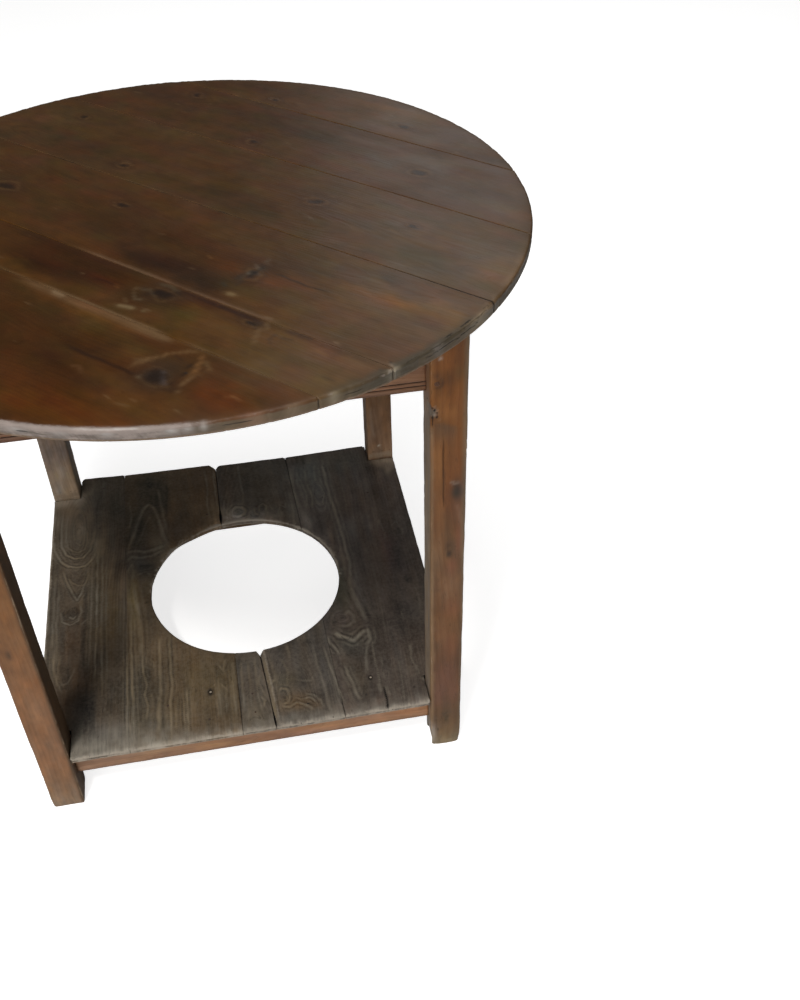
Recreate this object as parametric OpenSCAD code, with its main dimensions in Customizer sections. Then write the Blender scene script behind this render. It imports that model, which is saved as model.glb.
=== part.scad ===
// Round plank-topped table on a square four-legged base.
// Butt-jointed top boards laid cornerwise over the base, tenoned aprons and
// lower rails, and a low plank shelf with a round brazier hole.
// Millimetres, +Z up, X to the right, Y to the back.
// Origin on the floor, under the centre of the round top.

/* [Table top] */
// Diameter of the round top
top_d = 867; // [860:1:900]
// Thickness of the top boards
top_t = 16; // [14:1:20]
// Height of the table over the floor
table_h = 750; // [720:1:780]
// First board joint, measured square to the boards from the centre
joint_1 = -209.5; // [-215:0.5:-200]
// Second board joint
joint_2 = -130.5; // [-140:0.5:-120]
// Third board joint
joint_3 = 31; // [25:0.5:40]
// Fourth board joint
joint_4 = 185; // [175:0.5:195]
// Fifth board joint
joint_5 = 320; // [310:0.5:330]
// Width of the two battens under the top
top_batten_w = 60; // [50:1:70]
// Thickness of the two battens under the top
top_batten_t = 22; // [18:1:24]
// Distance of each batten from the centre, along the boards
top_batten_x = 150; // [140:1:160]

/* [Base] */
// Width and depth of the base over the legs
base_w = 598; // [590:1:606]
// Side of the square legs
leg_s = 45; // [44:1:46]
// Width of the worn chamfer along each leg corner
leg_arris = 2; // [1:0.5:3]
// Height of the chamfer round each foot
foot_ch = 7; // [4:1:10]
// Height of the aprons
apron_h = 96; // [92:1:100]
// Thickness of the aprons
apron_t = 20; // [18:1:22]
// Set-back of the aprons from the outer leg faces
apron_inset = 23; // [21:1:24]
// Depth of the scratched bead lines in the aprons
bead_d = 1.2; // [0.8:0.1:2]
// Height of the lower rails
rail_h = 47; // [45:1:50]
// Thickness of the lower rails
rail_t = 22; // [20:1:23]
// Set-back of the lower rails from the outer leg faces
rail_inset = 16; // [15:1:17]
// Diameter of the pegs in the apron joints
peg_d = 8; // [7:0.5:9]

/* [Shelf] */
// Height of the shelf's upper face over the floor
shelf_z = 112; // [108:1:116]
// Thickness of the shelf boards
shelf_t = 11; // [10:1:13]
// Diameter of the brazier hole
hole_d = 296; // [290:1:300]
// Sideways place of the hole's centre
hole_x = 12.7; // [10:0.1:15]
// Front-to-back place of the hole's centre
hole_y = -9.5; // [-12:0.1:-7]
// How far the shelf stands proud of the legs at the front
shelf_over = 4; // [3:0.5:6]
// Gap between the shelf and the legs in each notch
notch_gap = 1; // [0.5:0.5:2]
// Width of the battens under the shelf
shelf_batten_w = 44; // [40:1:48]
// Thickness of the battens under the shelf
shelf_batten_t = 12; // [10:1:14]
// Front face of the rear shelf batten, just behind the hole
rear_batten_y = 146; // [144:1:150]
// Front face of the front shelf batten
front_batten_y = -255; // [-257:1:-250]

/* [Nails] */
// Diameter of the nail shanks
nail_d = 3; // [2:0.5:4]
// Diameter of the nail heads
nail_head_d = 6; // [5:0.5:8]
// Thickness of the nail heads
nail_head_t = 1.2; // [0.8:0.1:1.6]

/* [Hidden] */

top_r = top_d / 2;
under = table_h - top_t;              // underside of the top boards
half = base_w / 2;                    // outer leg faces
inner = half - leg_s;                 // inner leg faces
apron_out = half - apron_inset;       // outer face of each apron
apron_in = apron_out - apron_t;       // inner face of each apron
apron_mid = (apron_out + apron_in) / 2;
apron_z = under - apron_h;            // lower edge of each apron
rail_out = half - rail_inset;
rail_in = rail_out - rail_t;
rail_mid = (rail_out + rail_in) / 2;
rail_top = shelf_z - shelf_t;
rail_z = rail_top - rail_h;
ten_t = 8;                            // thickness of every tenon
ten_a = 28;                           // length of the apron tenons
ten_r = 26;                           // length of the rail tenons
// Heights of the tenons: one pair low, the other high, so they pass in the leg
a_low = [apron_z + 8, apron_z + 46];
a_high = [apron_z + 54, apron_z + 90];
r_low = [rail_z + 4, rail_z + 22];
r_high = [rail_z + 26, rail_z + 43];
peg_x = inner + 8;                    // pegs stand 8 in from the shoulder
peg_low_z = apron_z + 24;
peg_high_z = apron_z + 72;
peg_l = leg_s - 3;
sink = 0.01;                          // overshoot of the cutting shapes

C_TOP = [0.33, 0.20, 0.10];
C_LEG = [0.48, 0.31, 0.18];
C_APRON = [0.42, 0.27, 0.20];
C_RAIL = [0.55, 0.36, 0.24];
C_SHELF = [0.26, 0.24, 0.20];
C_UNDER = [0.40, 0.31, 0.22];
C_IRON = [0.30, 0.28, 0.26];
C_PEG = [0.40, 0.28, 0.18];

joints = [-top_r - 1, joint_1, joint_2, joint_3, joint_4, joint_5, top_r + 1];

// Nails through the top into the aprons: place along each apron
front_nails = [-200, -80, 0, 50, 110, 215];
left_nails = [-200, -80, 0, 50, 110, 215];
back_nails = [-190, -40, 80, 150, 220];
right_nails = [-190, -40, 80, 150, 220];
// Nails from below through the top battens: place along each batten
batten_nail_y = [-170, -145, -105, -45, 5, 55, 105, 160];
// Nails through the shelf into the rails, as [x, y]
rail_nail_y = rail_mid;
shelf_rail_nails = [
    for (x = [-215, -120, -60, 5, 80, 165, 235]) [x, -rail_nail_y],
    for (x = [-215, -110, -45, 45, 150, 235]) [x, rail_nail_y]
];
// Nails through the shelf into its battens, as [x, y]
shelf_batten_nails = [
    [-215, -232], [-118, -236], [-56, -223], [3, -238], [82, -230], [176, -242], [242, -230],
    [-220, 168], [-120, 172], [-40, 166], [45, 170], [90, 164], [160, 170], [238, 166]
];
rail_nail_l = 34;
batten_nail_l = 20;
top_nail_l = 50;
up_nail_l = top_batten_t + 10;
end_nail_l = apron_t + 25;
end_nails = [30, 55];                 // offsets of the nails in a batten's end

// ---------- shared shapes ----------

// A nail, head up, its head's face at the origin
module nail(l) {
    translate([0, 0, -nail_head_t]) cylinder(h = nail_head_t, d = nail_head_d, $fn = 24);
    translate([0, 0, -l]) cylinder(h = l - nail_head_t, d = nail_d, $fn = 24);
}

// The same nail as a cutting shape
module nail_cut(l) {
    translate([0, 0, -nail_head_t]) cylinder(h = nail_head_t + sink, d = nail_head_d, $fn = 24);
    translate([0, 0, -l]) cylinder(h = l, d = nail_d, $fn = 24);
}

module all_top_nails(cut = false) {
    for (x = front_nails) translate([x, -apron_mid, table_h])
        if (cut) nail_cut(top_nail_l); else nail(top_nail_l);
    for (x = back_nails) translate([x, apron_mid, table_h])
        if (cut) nail_cut(top_nail_l); else nail(top_nail_l);
    for (y = left_nails) translate([-apron_mid, y, table_h])
        if (cut) nail_cut(top_nail_l); else nail(top_nail_l);
    for (y = right_nails) translate([apron_mid, y, table_h])
        if (cut) nail_cut(top_nail_l); else nail(top_nail_l);
}

module all_batten_nails(cut = false) {
    rotate([0, 0, -45]) for (s = [-1, 1], y = batten_nail_y)
        translate([s * top_batten_x, y, under - top_batten_t]) rotate([180, 0, 0])
            if (cut) nail_cut(up_nail_l); else nail(up_nail_l);
}

module all_end_nails(cut = false) {
    z = under - top_batten_t / 2;
    for (o = end_nails) {
        translate([-o, -apron_out, z]) rotate([90, 0, 0])
            if (cut) nail_cut(end_nail_l); else nail(end_nail_l);
        translate([o, apron_out, z]) rotate([-90, 0, 0])
            if (cut) nail_cut(end_nail_l); else nail(end_nail_l);
        translate([-apron_out, -o, z]) rotate([0, -90, 0])
            if (cut) nail_cut(end_nail_l); else nail(end_nail_l);
        translate([apron_out, o, z]) rotate([0, 90, 0])
            if (cut) nail_cut(end_nail_l); else nail(end_nail_l);
    }
}

module all_shelf_nails(cut = false) {
    for (p = shelf_rail_nails) translate([p[0], p[1], shelf_z])
        if (cut) nail_cut(rail_nail_l); else nail(rail_nail_l);
    for (p = shelf_batten_nails) translate([p[0], p[1], shelf_z])
        if (cut) nail_cut(batten_nail_l); else nail(batten_nail_l);
}

// ---------- top ----------

// One board of the round top, between joint number i and the next
module top_board(i) {
    color(C_TOP) difference() {
        intersection() {
            translate([0, 0, under]) cylinder(h = top_t, r = top_r, $fn = 240);
            rotate([0, 0, -45]) translate([-top_r - 5, joints[i], under - 1])
                cube([2 * top_r + 10, joints[i + 1] - joints[i], top_t + 2]);
        }
        all_top_nails(true);
        all_batten_nails(true);
    }
}

// One batten across the boards, cut to fit inside the aprons
module top_batten(s) {
    color(C_UNDER) difference() {
        intersection() {
            rotate([0, 0, -45]) translate([s * top_batten_x - top_batten_w / 2, -top_r, under - top_batten_t])
                cube([top_batten_w, 2 * top_r, top_batten_t]);
            translate([-apron_in, -apron_in, under - top_batten_t - 1])
                cube([2 * apron_in, 2 * apron_in, top_batten_t + 2]);
        }
        all_batten_nails(true);
        all_end_nails(true);
    }
}

// ---------- base ----------

// A leg in the quarter where X and Y are positive
module leg() {
    c = leg_arris;
    f = foot_ch;
    difference() {
        intersection() {
            translate([inner, inner, 0]) linear_extrude(under) polygon([
                [c, 0], [leg_s - c, 0], [leg_s, c], [leg_s, leg_s - c],
                [leg_s - c, leg_s], [c, leg_s], [0, leg_s - c], [0, c]]);
            translate([inner, half + 1, 0]) rotate([90, 0, 0]) linear_extrude(leg_s + 2) polygon([
                [4, 0], [leg_s - 4, 0], [leg_s, f], [leg_s, under], [0, under], [0, f]]);
            translate([inner - 1, inner, 0]) rotate([90, 0, 90]) linear_extrude(leg_s + 2) polygon([
                [4, 0], [leg_s - 4, 0], [leg_s, f], [leg_s, under], [0, under], [0, f]]);
        }
        // mortises: aprons, then lower rails
        translate([inner - 1, apron_mid - ten_t / 2, a_low[0]]) cube([ten_a + 2, ten_t, a_low[1] - a_low[0]]);
        translate([apron_mid - ten_t / 2, inner - 1, a_high[0]]) cube([ten_t, ten_a + 2, a_high[1] - a_high[0]]);
        translate([inner - 1, rail_mid - ten_t / 2, r_low[0]]) cube([ten_r + 2, ten_t, r_low[1] - r_low[0]]);
        translate([rail_mid - ten_t / 2, inner - 1, r_high[0]]) cube([ten_t, ten_r + 2, r_high[1] - r_high[0]]);
        pegs_corner(true);
    }
}

// The two pegs of one corner, in the same quarter
module pegs_corner(cut = false) {
    e = cut ? 1 : 0;
    translate([peg_x, half - peg_l, peg_low_z]) rotate([-90, 0, 0]) cylinder(h = peg_l + e, d = peg_d, $fn = 32);
    translate([half - peg_l, peg_x, peg_high_z]) rotate([0, 90, 0]) cylinder(h = peg_l + e, d = peg_d, $fn = 32);
}

module quarter(sx, sy) {
    mirror([sx < 0 ? 1 : 0, 0, 0]) mirror([0, sy < 0 ? 1 : 0, 0]) children();
}

module all_pegs(cut = false) {
    for (sx = [-1, 1], sy = [-1, 1]) quarter(sx, sy) pegs_corner(cut);
}

// The apron at the back; low tenons
module apron_x() {
    difference() {
        union() {
            translate([-inner, apron_in, apron_z]) cube([2 * inner, apron_t, apron_h]);
            translate([-inner - ten_a, apron_mid - ten_t / 2, a_low[0]])
                cube([2 * (inner + ten_a), ten_t, a_low[1] - a_low[0]]);
        }
        for (z = [6.5, 12]) translate([-inner - 1, apron_out - bead_d, apron_z + z])
            cube([2 * inner + 2, bead_d + 1, 1.6]);
    }
}

// The apron at the right; high tenons
module apron_y() {
    difference() {
        union() {
            translate([apron_in, -inner, apron_z]) cube([apron_t, 2 * inner, apron_h]);
            translate([apron_mid - ten_t / 2, -inner - ten_a, a_high[0]])
                cube([ten_t, 2 * (inner + ten_a), a_high[1] - a_high[0]]);
        }
        for (z = [6.5, 12]) translate([apron_out - bead_d, -inner - 1, apron_z + z])
            cube([bead_d + 1, 2 * inner + 2, 1.6]);
    }
}

module apron_cuts() {
    all_pegs(true);
    all_top_nails(true);
    all_end_nails(true);
}

// The lower rail at the back; low tenons
module rail_x() {
    translate([-inner, rail_in, rail_z]) cube([2 * inner, rail_t, rail_h]);
    translate([-inner - ten_r, rail_mid - ten_t / 2, r_low[0]])
        cube([2 * (inner + ten_r), ten_t, r_low[1] - r_low[0]]);
}

// The lower rail at the right; high tenons
module rail_y() {
    translate([rail_in, -inner, rail_z]) cube([rail_t, 2 * inner, rail_h]);
    translate([rail_mid - ten_t / 2, -inner - ten_r, r_high[0]])
        cube([ten_t, 2 * (inner + ten_r), r_high[1] - r_high[0]]);
}

// ---------- shelf ----------

front_y = -half - shelf_over;         // front edge of the shelf
n = inner - notch_gap;                // notch faces next to the legs
// Where the joints between the shelf boards run, as [x at front, x at back]
j_left = [-172, -179];
j_mid = [-15, -18];
j_split = [32, 21];                   // front edge, and at the hole's rim
j_right = [130, 107];
function jx(j, y) = j[0] + (j[1] - j[0]) * (y - front_y) / (half + 4 - front_y);

module shelf_shape(points) {
    color(C_SHELF) difference() {
        translate([0, 0, rail_top]) linear_extrude(shelf_t) polygon(points);
        translate([hole_x, hole_y, rail_top - 1]) cylinder(h = shelf_t + 2, d = hole_d, $fn = 180);
        all_shelf_nails(true);
    }
}

module shelf_batten(y) {
    color(C_UNDER) difference() {
        translate([-inner + 3, y, rail_top - shelf_batten_t]) cube([2 * inner - 6, shelf_batten_w, shelf_batten_t]);
        all_shelf_nails(true);
    }
}

// ---------- nodes ----------

module top_board_1() { top_board(0); }
module top_board_2() { top_board(1); }
module top_board_3() { top_board(2); }
module top_board_4() { top_board(3); }
module top_board_5() { top_board(4); }
module top_board_6() { top_board(5); }
module top_batten_left() { top_batten(-1); }
module top_batten_right() { top_batten(1); }

module leg_front_left() { color(C_LEG) quarter(-1, -1) leg(); }
module leg_front_right() { color(C_LEG) quarter(1, -1) leg(); }
module leg_back_left() { color(C_LEG) quarter(-1, 1) leg(); }
module leg_back_right() { color(C_LEG) quarter(1, 1) leg(); }

module apron_front() { color(C_APRON) difference() { mirror([0, 1, 0]) apron_x(); apron_cuts(); } }
module apron_back() { color(C_APRON) difference() { apron_x(); apron_cuts(); } }
module apron_left() { color(C_APRON) difference() { mirror([1, 0, 0]) apron_y(); apron_cuts(); } }
module apron_right() { color(C_APRON) difference() { apron_y(); apron_cuts(); } }

module rail_front() { color(C_RAIL) difference() { mirror([0, 1, 0]) rail_x(); all_shelf_nails(true); } }
module rail_back() { color(C_RAIL) difference() { rail_x(); all_shelf_nails(true); } }
module rail_left() { color(C_RAIL) mirror([1, 0, 0]) rail_y(); }
module rail_right() { color(C_RAIL) rail_y(); }

module shelf_board_left() {
    shelf_shape([
        [-half, -n], [-n, -n], [-n, front_y], [j_left[0], front_y],
        [jx(j_left, half + 4), half + 4], [-n + 4, half + 8], [-n, half + 3], [-n, n], [-half, n]]);
}
module shelf_board_left_centre() {
    shelf_shape([
        [j_left[0], front_y], [j_mid[0], front_y],
        [jx(j_mid, half - 15), half - 15], [jx(j_mid, half) - 7, half - 3], [jx(j_mid, half) - 11, half + 1],
        [jx(j_left, half + 3), half + 3]]);
}
module shelf_board_rear_centre() {
    shelf_shape([
        [jx(j_mid, hole_y), hole_y], [jx(j_right, hole_y), hole_y],
        [jx(j_right, half - 8), half - 8], [jx(j_right, half) - 3, half - 4],
        [jx(j_mid, half) + 8, half - 4], [jx(j_mid, half) + 4, half - 6], [jx(j_mid, half - 15), half - 15]]);
}
module shelf_board_front_narrow() {
    shelf_shape([
        [j_mid[0], front_y], [j_split[0], front_y],
        [j_split[1], hole_y - hole_d / 2 - 10], [j_split[1] - 6, hole_y - hole_d / 2 + 2], [j_split[1] - 8, hole_y],
        [jx(j_mid, hole_y), hole_y]]);
}
module shelf_board_front_wide() {
    shelf_shape([
        [j_split[0], front_y], [j_right[0], front_y], [jx(j_right, hole_y), hole_y], [j_split[1] + 8, hole_y],
        [j_split[1] + 6, hole_y - hole_d / 2 + 2], [j_split[1], hole_y - hole_d / 2 - 10]]);
}
module shelf_board_right() {
    shelf_shape([
        [j_right[0], front_y], [n, front_y + 1], [n, -n], [half, -n], [half, n], [n, n],
        [n, half - 6], [n - 4, half - 1], [jx(j_right, half) + 3, half - 5], [jx(j_right, half - 8), half - 8]]);
}
module shelf_batten_rear() { shelf_batten(rear_batten_y); }
module shelf_batten_front() { shelf_batten(front_batten_y); }

module apron_pegs() { color(C_PEG) all_pegs(); }
module top_nails() { color(C_IRON) all_top_nails(); }
module top_batten_nails() { color(C_IRON) all_batten_nails(); }
module batten_end_nails() { color(C_IRON) all_end_nails(); }
module shelf_nails() { color(C_IRON) all_shelf_nails(); }

top_board_1();
top_board_2();
top_board_3();
top_board_4();
top_board_5();
top_board_6();
top_batten_left();
top_batten_right();
leg_front_left();
leg_front_right();
leg_back_left();
leg_back_right();
apron_front();
apron_back();
apron_left();
apron_right();
rail_front();
rail_back();
rail_left();
rail_right();
shelf_board_left();
shelf_board_left_centre();
shelf_board_rear_centre();
shelf_board_front_narrow();
shelf_board_front_wide();
shelf_board_right();
shelf_batten_rear();
shelf_batten_front();
apron_pegs();
top_nails();
top_batten_nails();
batten_end_nails();
shelf_nails();
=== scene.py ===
import math

import bpy
import numpy as np
from mathutils import Matrix, Vector
from mathutils.geometry import delaunay_2d_cdt
from mathutils.kdtree import KDTree


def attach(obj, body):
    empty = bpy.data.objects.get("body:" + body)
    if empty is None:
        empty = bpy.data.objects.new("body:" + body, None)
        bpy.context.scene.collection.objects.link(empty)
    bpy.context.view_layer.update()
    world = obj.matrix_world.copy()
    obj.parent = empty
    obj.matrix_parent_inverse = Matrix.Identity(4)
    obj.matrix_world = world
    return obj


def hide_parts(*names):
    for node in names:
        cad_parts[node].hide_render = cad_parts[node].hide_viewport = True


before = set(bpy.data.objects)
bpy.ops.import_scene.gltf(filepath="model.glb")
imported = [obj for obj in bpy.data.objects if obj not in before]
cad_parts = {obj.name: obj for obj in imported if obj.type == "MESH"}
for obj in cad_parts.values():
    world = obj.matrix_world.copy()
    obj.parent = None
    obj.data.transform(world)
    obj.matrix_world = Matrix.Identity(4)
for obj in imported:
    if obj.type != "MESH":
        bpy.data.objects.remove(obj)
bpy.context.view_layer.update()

MM = 0.001
K = 750.0 / 720.0  # features are noted on a 720 mm high table and scaled to this one


# ------------------------------------------------------------------ numbers
def lin(r, g, b):
    """A colour as seen, 0 to 255, as linear light."""
    c = np.array([r, g, b], float) / 255.0
    return np.where(c <= 0.04045, c / 12.92, ((c + 0.055) / 1.055) ** 2.4)


def step(x, a, b):
    t = np.clip((x - a) / (b - a), 0.0, 1.0)
    return t * t * (3 - 2 * t)


def bell(x, c, w):
    return np.exp(-(((x - c) / w) ** 2))


M32 = np.uint64(0xFFFFFFFF)


def _hash(ix, iy, iz, seed):
    n = (ix.astype(np.int64) * 73856093) ^ (iy.astype(np.int64) * 19349663) ^ (iz.astype(np.int64) * 83492791)
    n = (n ^ np.int64(seed * 7919 + 13)).astype(np.uint64) & M32
    n = ((n ^ (n >> np.uint64(15))) * np.uint64(2246822519)) & M32
    n = ((n ^ (n >> np.uint64(13))) * np.uint64(3266489917)) & M32
    n = n ^ (n >> np.uint64(16))
    return n.astype(float) / 4294967295.0


def noise(p, seed=0):
    """Smooth value noise from -1 to 1 at the points p (N, 3)."""
    i = np.floor(p)
    f = p - i
    i = i.astype(np.int64)
    f = f * f * f * (f * (f * 6 - 15) + 10)
    out = np.zeros(len(p))
    for dx in (0, 1):
        for dy in (0, 1):
            for dz in (0, 1):
                w = (f[:, 0] if dx else 1 - f[:, 0]) * (f[:, 1] if dy else 1 - f[:, 1]) * (f[:, 2] if dz else 1 - f[:, 2])
                out += w * _hash(i[:, 0] + dx, i[:, 1] + dy, i[:, 2] + dz, seed)
    return out * 2 - 1


def fbm(p, octaves=3, seed=0, gain=0.5):
    total, amp, norm = 0.0, 1.0, 0.0
    for o in range(octaves):
        total = total + amp * noise(p * (2.0**o) + 17.3 * o, seed + 31 * o)
        norm += amp
        amp *= gain
    return total / norm


def nz(x, y, z, sx, sy, sz, seed, octaves=2):
    """Noise whose features are about sx, sy, sz millimetres long."""
    return fbm(np.stack([x / sx, y / sy, z / sz], 1), octaves, seed)


def to_line(x, y, pts):
    """Distance of each point to a polyline, and how far along it the nearest place is, 0 to 1."""
    pts = np.array(pts, float)
    best = np.full(len(x), 1e9)
    along = np.zeros(len(x))
    seg = np.linalg.norm(np.diff(pts, axis=0), axis=1)
    run = np.concatenate([[0], np.cumsum(seg)]) / max(seg.sum(), 1e-9)
    for k in range(len(pts) - 1):
        a, d = pts[k], pts[k + 1] - pts[k]
        t = np.clip(((x - a[0]) * d[0] + (y - a[1]) * d[1]) / max(d @ d, 1e-9), 0, 1)
        e = np.hypot(x - a[0] - t * d[0], y - a[1] - t * d[1])
        near = e < best
        best = np.where(near, e, best)
        along = np.where(near, run[k] + t * (run[k + 1] - run[k]), along)
    return best, along


def stroke(x, y, pts, w, taper=0.12):
    """A soft drawn line of half width w, thinner at its ends."""
    d, t = to_line(x, y, pts)
    end = step(np.minimum(t, 1 - t), 0, taper) if taper > 0 else 1.0
    return np.exp(-((d / w) ** 2)) * (0.25 + 0.75 * end)


# ------------------------------------------------------------------ meshes
def make(name, verts, tris, quads, fields, mats, replaces):
    """A shaded mesh piece in the frame. verts are in millimetres."""
    me = bpy.data.meshes.new(name)
    tris = np.asarray(tris, np.int32).reshape(-1, 3)
    quads = np.asarray(quads, np.int32).reshape(-1, 4)
    me.vertices.add(len(verts))
    me.vertices.foreach_set("co", (np.asarray(verts) * MM).astype(np.float32).ravel())
    loops = np.concatenate([tris.ravel(), quads.ravel()]).astype(np.int32)
    me.loops.add(len(loops))
    me.loops.foreach_set("vertex_index", loops)
    me.polygons.add(len(tris) + len(quads))
    starts = np.concatenate([np.arange(len(tris)) * 3, len(tris) * 3 + np.arange(len(quads)) * 4]).astype(np.int32)
    me.polygons.foreach_set("loop_start", starts)
    me.polygons.foreach_set("use_smooth", np.ones(len(starts), bool))
    me.update(calc_edges=True)
    me.validate()
    for key, values in fields.items():
        values = np.asarray(values, np.float32)
        if values.shape[1] == 3:
            a = me.attributes.new(key, "FLOAT_VECTOR", "POINT")
            a.data.foreach_set("vector", values.ravel())
        else:
            a = me.attributes.new(key, "FLOAT_COLOR", "POINT")
            a.data.foreach_set("color", values.ravel())
    o = bpy.data.objects.new(name, me)
    bpy.context.scene.collection.objects.link(o)
    for m in mats:
        me.materials.append(m)
    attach(o, "root")
    if replaces:
        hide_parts(*replaces)
    return o


def densify(poly, gap):
    """A closed polygon with points every gap millimetres; corners stay."""
    out = []
    n = len(poly)
    for i in range(n):
        a, b = np.array(poly[i], float), np.array(poly[(i + 1) % n], float)
        m = max(1, int(math.ceil(np.linalg.norm(b - a) / gap)))
        out += [a + (b - a) * k / m for k in range(m)]
    return np.array(out)


def inside(pts, poly):
    x, y = pts[:, 0], pts[:, 1]
    r = np.zeros(len(pts), bool)
    a, b = poly, np.roll(poly, -1, 0)
    for (ax, ay), (bx, by) in zip(a, b):
        if ay == by:
            continue
        c = (ay > y) != (by > y)
        r ^= c & (x < (bx - ax) * (y - ay) / (by - ay) + ax)
    return r


def area(poly):
    a, b = poly, np.roll(poly, -1, 0)
    return 0.5 * np.sum(a[:, 0] * b[:, 1] - b[:, 0] * a[:, 1])


def spacing_out(out, least):
    keep = [0]
    for i in range(1, len(out)):
        if np.linalg.norm(out[i] - out[keep[-1]]) >= least:
            keep.append(i)
    if np.linalg.norm(out[keep[-1]] - out[0]) < least:
        keep.pop()
    return out[keep]


def clip_circle(poly, c, r, gap):
    """The polygon with the disc cut out of it; the disc crosses its outline once in and once out."""
    c = np.array(c, float)
    dense = densify(poly, gap)
    isin = np.linalg.norm(dense - c, axis=1) < r
    if not isin.any():
        return dense
    n = len(dense)
    start = next(i for i in range(n) if isin[i - 1] and not isin[i])
    order = [(start + k) % n for k in range(n)]
    run = [i for i in order if not isin[i]]

    def cross(p, q):
        lo, hi = 0.0, 1.0
        for _ in range(40):
            mid = (lo + hi) / 2
            if np.linalg.norm(p + (q - p) * mid - c) < r:
                lo = mid
            else:
                hi = mid
        return p + (q - p) * hi

    first, last = run[0], run[-1]
    enter = cross(dense[(last + 1) % n], dense[last])
    leave = cross(dense[first - 1], dense[first])
    a0 = math.atan2(*(enter - c)[::-1])
    a1 = math.atan2(*(leave - c)[::-1])
    best = None
    for turn in (1, -1):
        d = (a1 - a0) * turn % (2 * math.pi) * turn
        mid = a0 + d / 2
        p = c + r * np.array([math.cos(mid), math.sin(mid)])
        if inside(p[None], np.array(poly, float))[0]:
            best = d
    if best is None:
        best = min(((a1 - a0) * t % (2 * math.pi) * t for t in (1, -1)), key=abs)
    m = max(2, int(abs(best) * r / gap))
    arc = [c + r * np.array([math.cos(a0 + best * k / m), math.sin(a0 + best * k / m)]) for k in range(m + 1)]
    return spacing_out(np.array([dense[i] for i in run] + arc), gap * 0.35)


def plate_mesh(out, su, sv, rings, extra=None):
    """A flat triangle mesh of a closed outline (counter-clockwise): rings of points along the edge, a grid inside.
    Returns points (the outline first), triangles, each point's distance to the edge and its nearest outline point."""
    n = len(out)
    t = np.roll(out, -1, 0) - np.roll(out, 1, 0)
    t /= np.linalg.norm(t, axis=1, keepdims=True)
    inward = np.stack([-t[:, 1], t[:, 0]], 1)
    tree = KDTree(n)
    for i, p in enumerate(out):
        tree.insert((p[0], p[1], 0.0), i)
    tree.balance()

    def measure(pts):
        near = np.array([tree.find((p[0], p[1], 0.0))[1] for p in pts], int)
        best = np.full(len(pts), 1e9)
        for a, b in ((near - 1, near), (near, (near + 1) % n)):
            A, B = out[a], out[b]
            d = B - A
            s = np.clip(np.sum((pts - A) * d, 1) / np.maximum(np.sum(d * d, 1), 1e-9), 0, 1)
            best = np.minimum(best, np.linalg.norm(pts - A - s[:, None] * d, axis=1))
        return best, near

    groups = []
    for k, r in enumerate(rings):
        c = out + inward * r
        if k >= 3:
            c = c[:: 2]
        d, _ = measure(c)
        c = c[d > r * 0.86]
        groups.append(c[inside(c, out)])
    lo, hi = out.min(0), out.max(0)
    us = np.arange(lo[0] + su * 0.37, hi[0], su)
    vs = np.arange(lo[1] + sv * 0.41, hi[1], sv)
    U, V = np.meshgrid(us, vs)
    V = V + (np.arange(len(us)) % 2)[None, :] * sv * 0.5
    grid = np.stack([U.ravel(), V.ravel()], 1)
    grid = grid[inside(grid, out)]
    d, _ = measure(grid)
    grid = grid[d > rings[-1] * 1.15]
    groups.append(grid)
    if extra is not None and len(extra):
        extra = np.asarray(extra, float)
        extra = extra[inside(extra, out)]
        d, _ = measure(extra)
        groups = [extra[d > 0.3]] + groups
    pts = np.concatenate([out] + groups)
    r = delaunay_2d_cdt([Vector(p) for p in pts], [(i, (i + 1) % n) for i in range(n)], [], 0, 1e-5)
    new = np.array([tuple(v) for v in r[0]])
    old = r[3]
    where = {}
    for i, o in enumerate(old):
        for j in o:
            where.setdefault(j, i)
    tri = np.array([f for f in r[2] if len(f) == 3], int)
    mid = new[tri].mean(1)
    tri = tri[inside(mid, out)]
    # the outline's points come first, in their order
    first = [where[i] for i in range(n)]
    used = np.unique(tri)
    rest = [i for i in used if i not in set(first)]
    order = np.array(first + rest, int)
    back = np.full(len(new), -1)
    back[order] = np.arange(len(order))
    tri = back[tri]
    pts = new[order]
    ar = np.cross(pts[tri[:, 1]] - pts[tri[:, 0]], pts[tri[:, 2]] - pts[tri[:, 0]])
    tri = tri[np.abs(ar) > 1e-9]
    ar = np.cross(pts[tri[:, 1]] - pts[tri[:, 0]], pts[tri[:, 2]] - pts[tri[:, 0]])
    tri[ar < 0] = tri[ar < 0][:, ::-1]
    d, near = measure(pts)
    d[:n] = 0.0
    near[:n] = np.arange(n)
    return pts, tri, d, near


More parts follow.
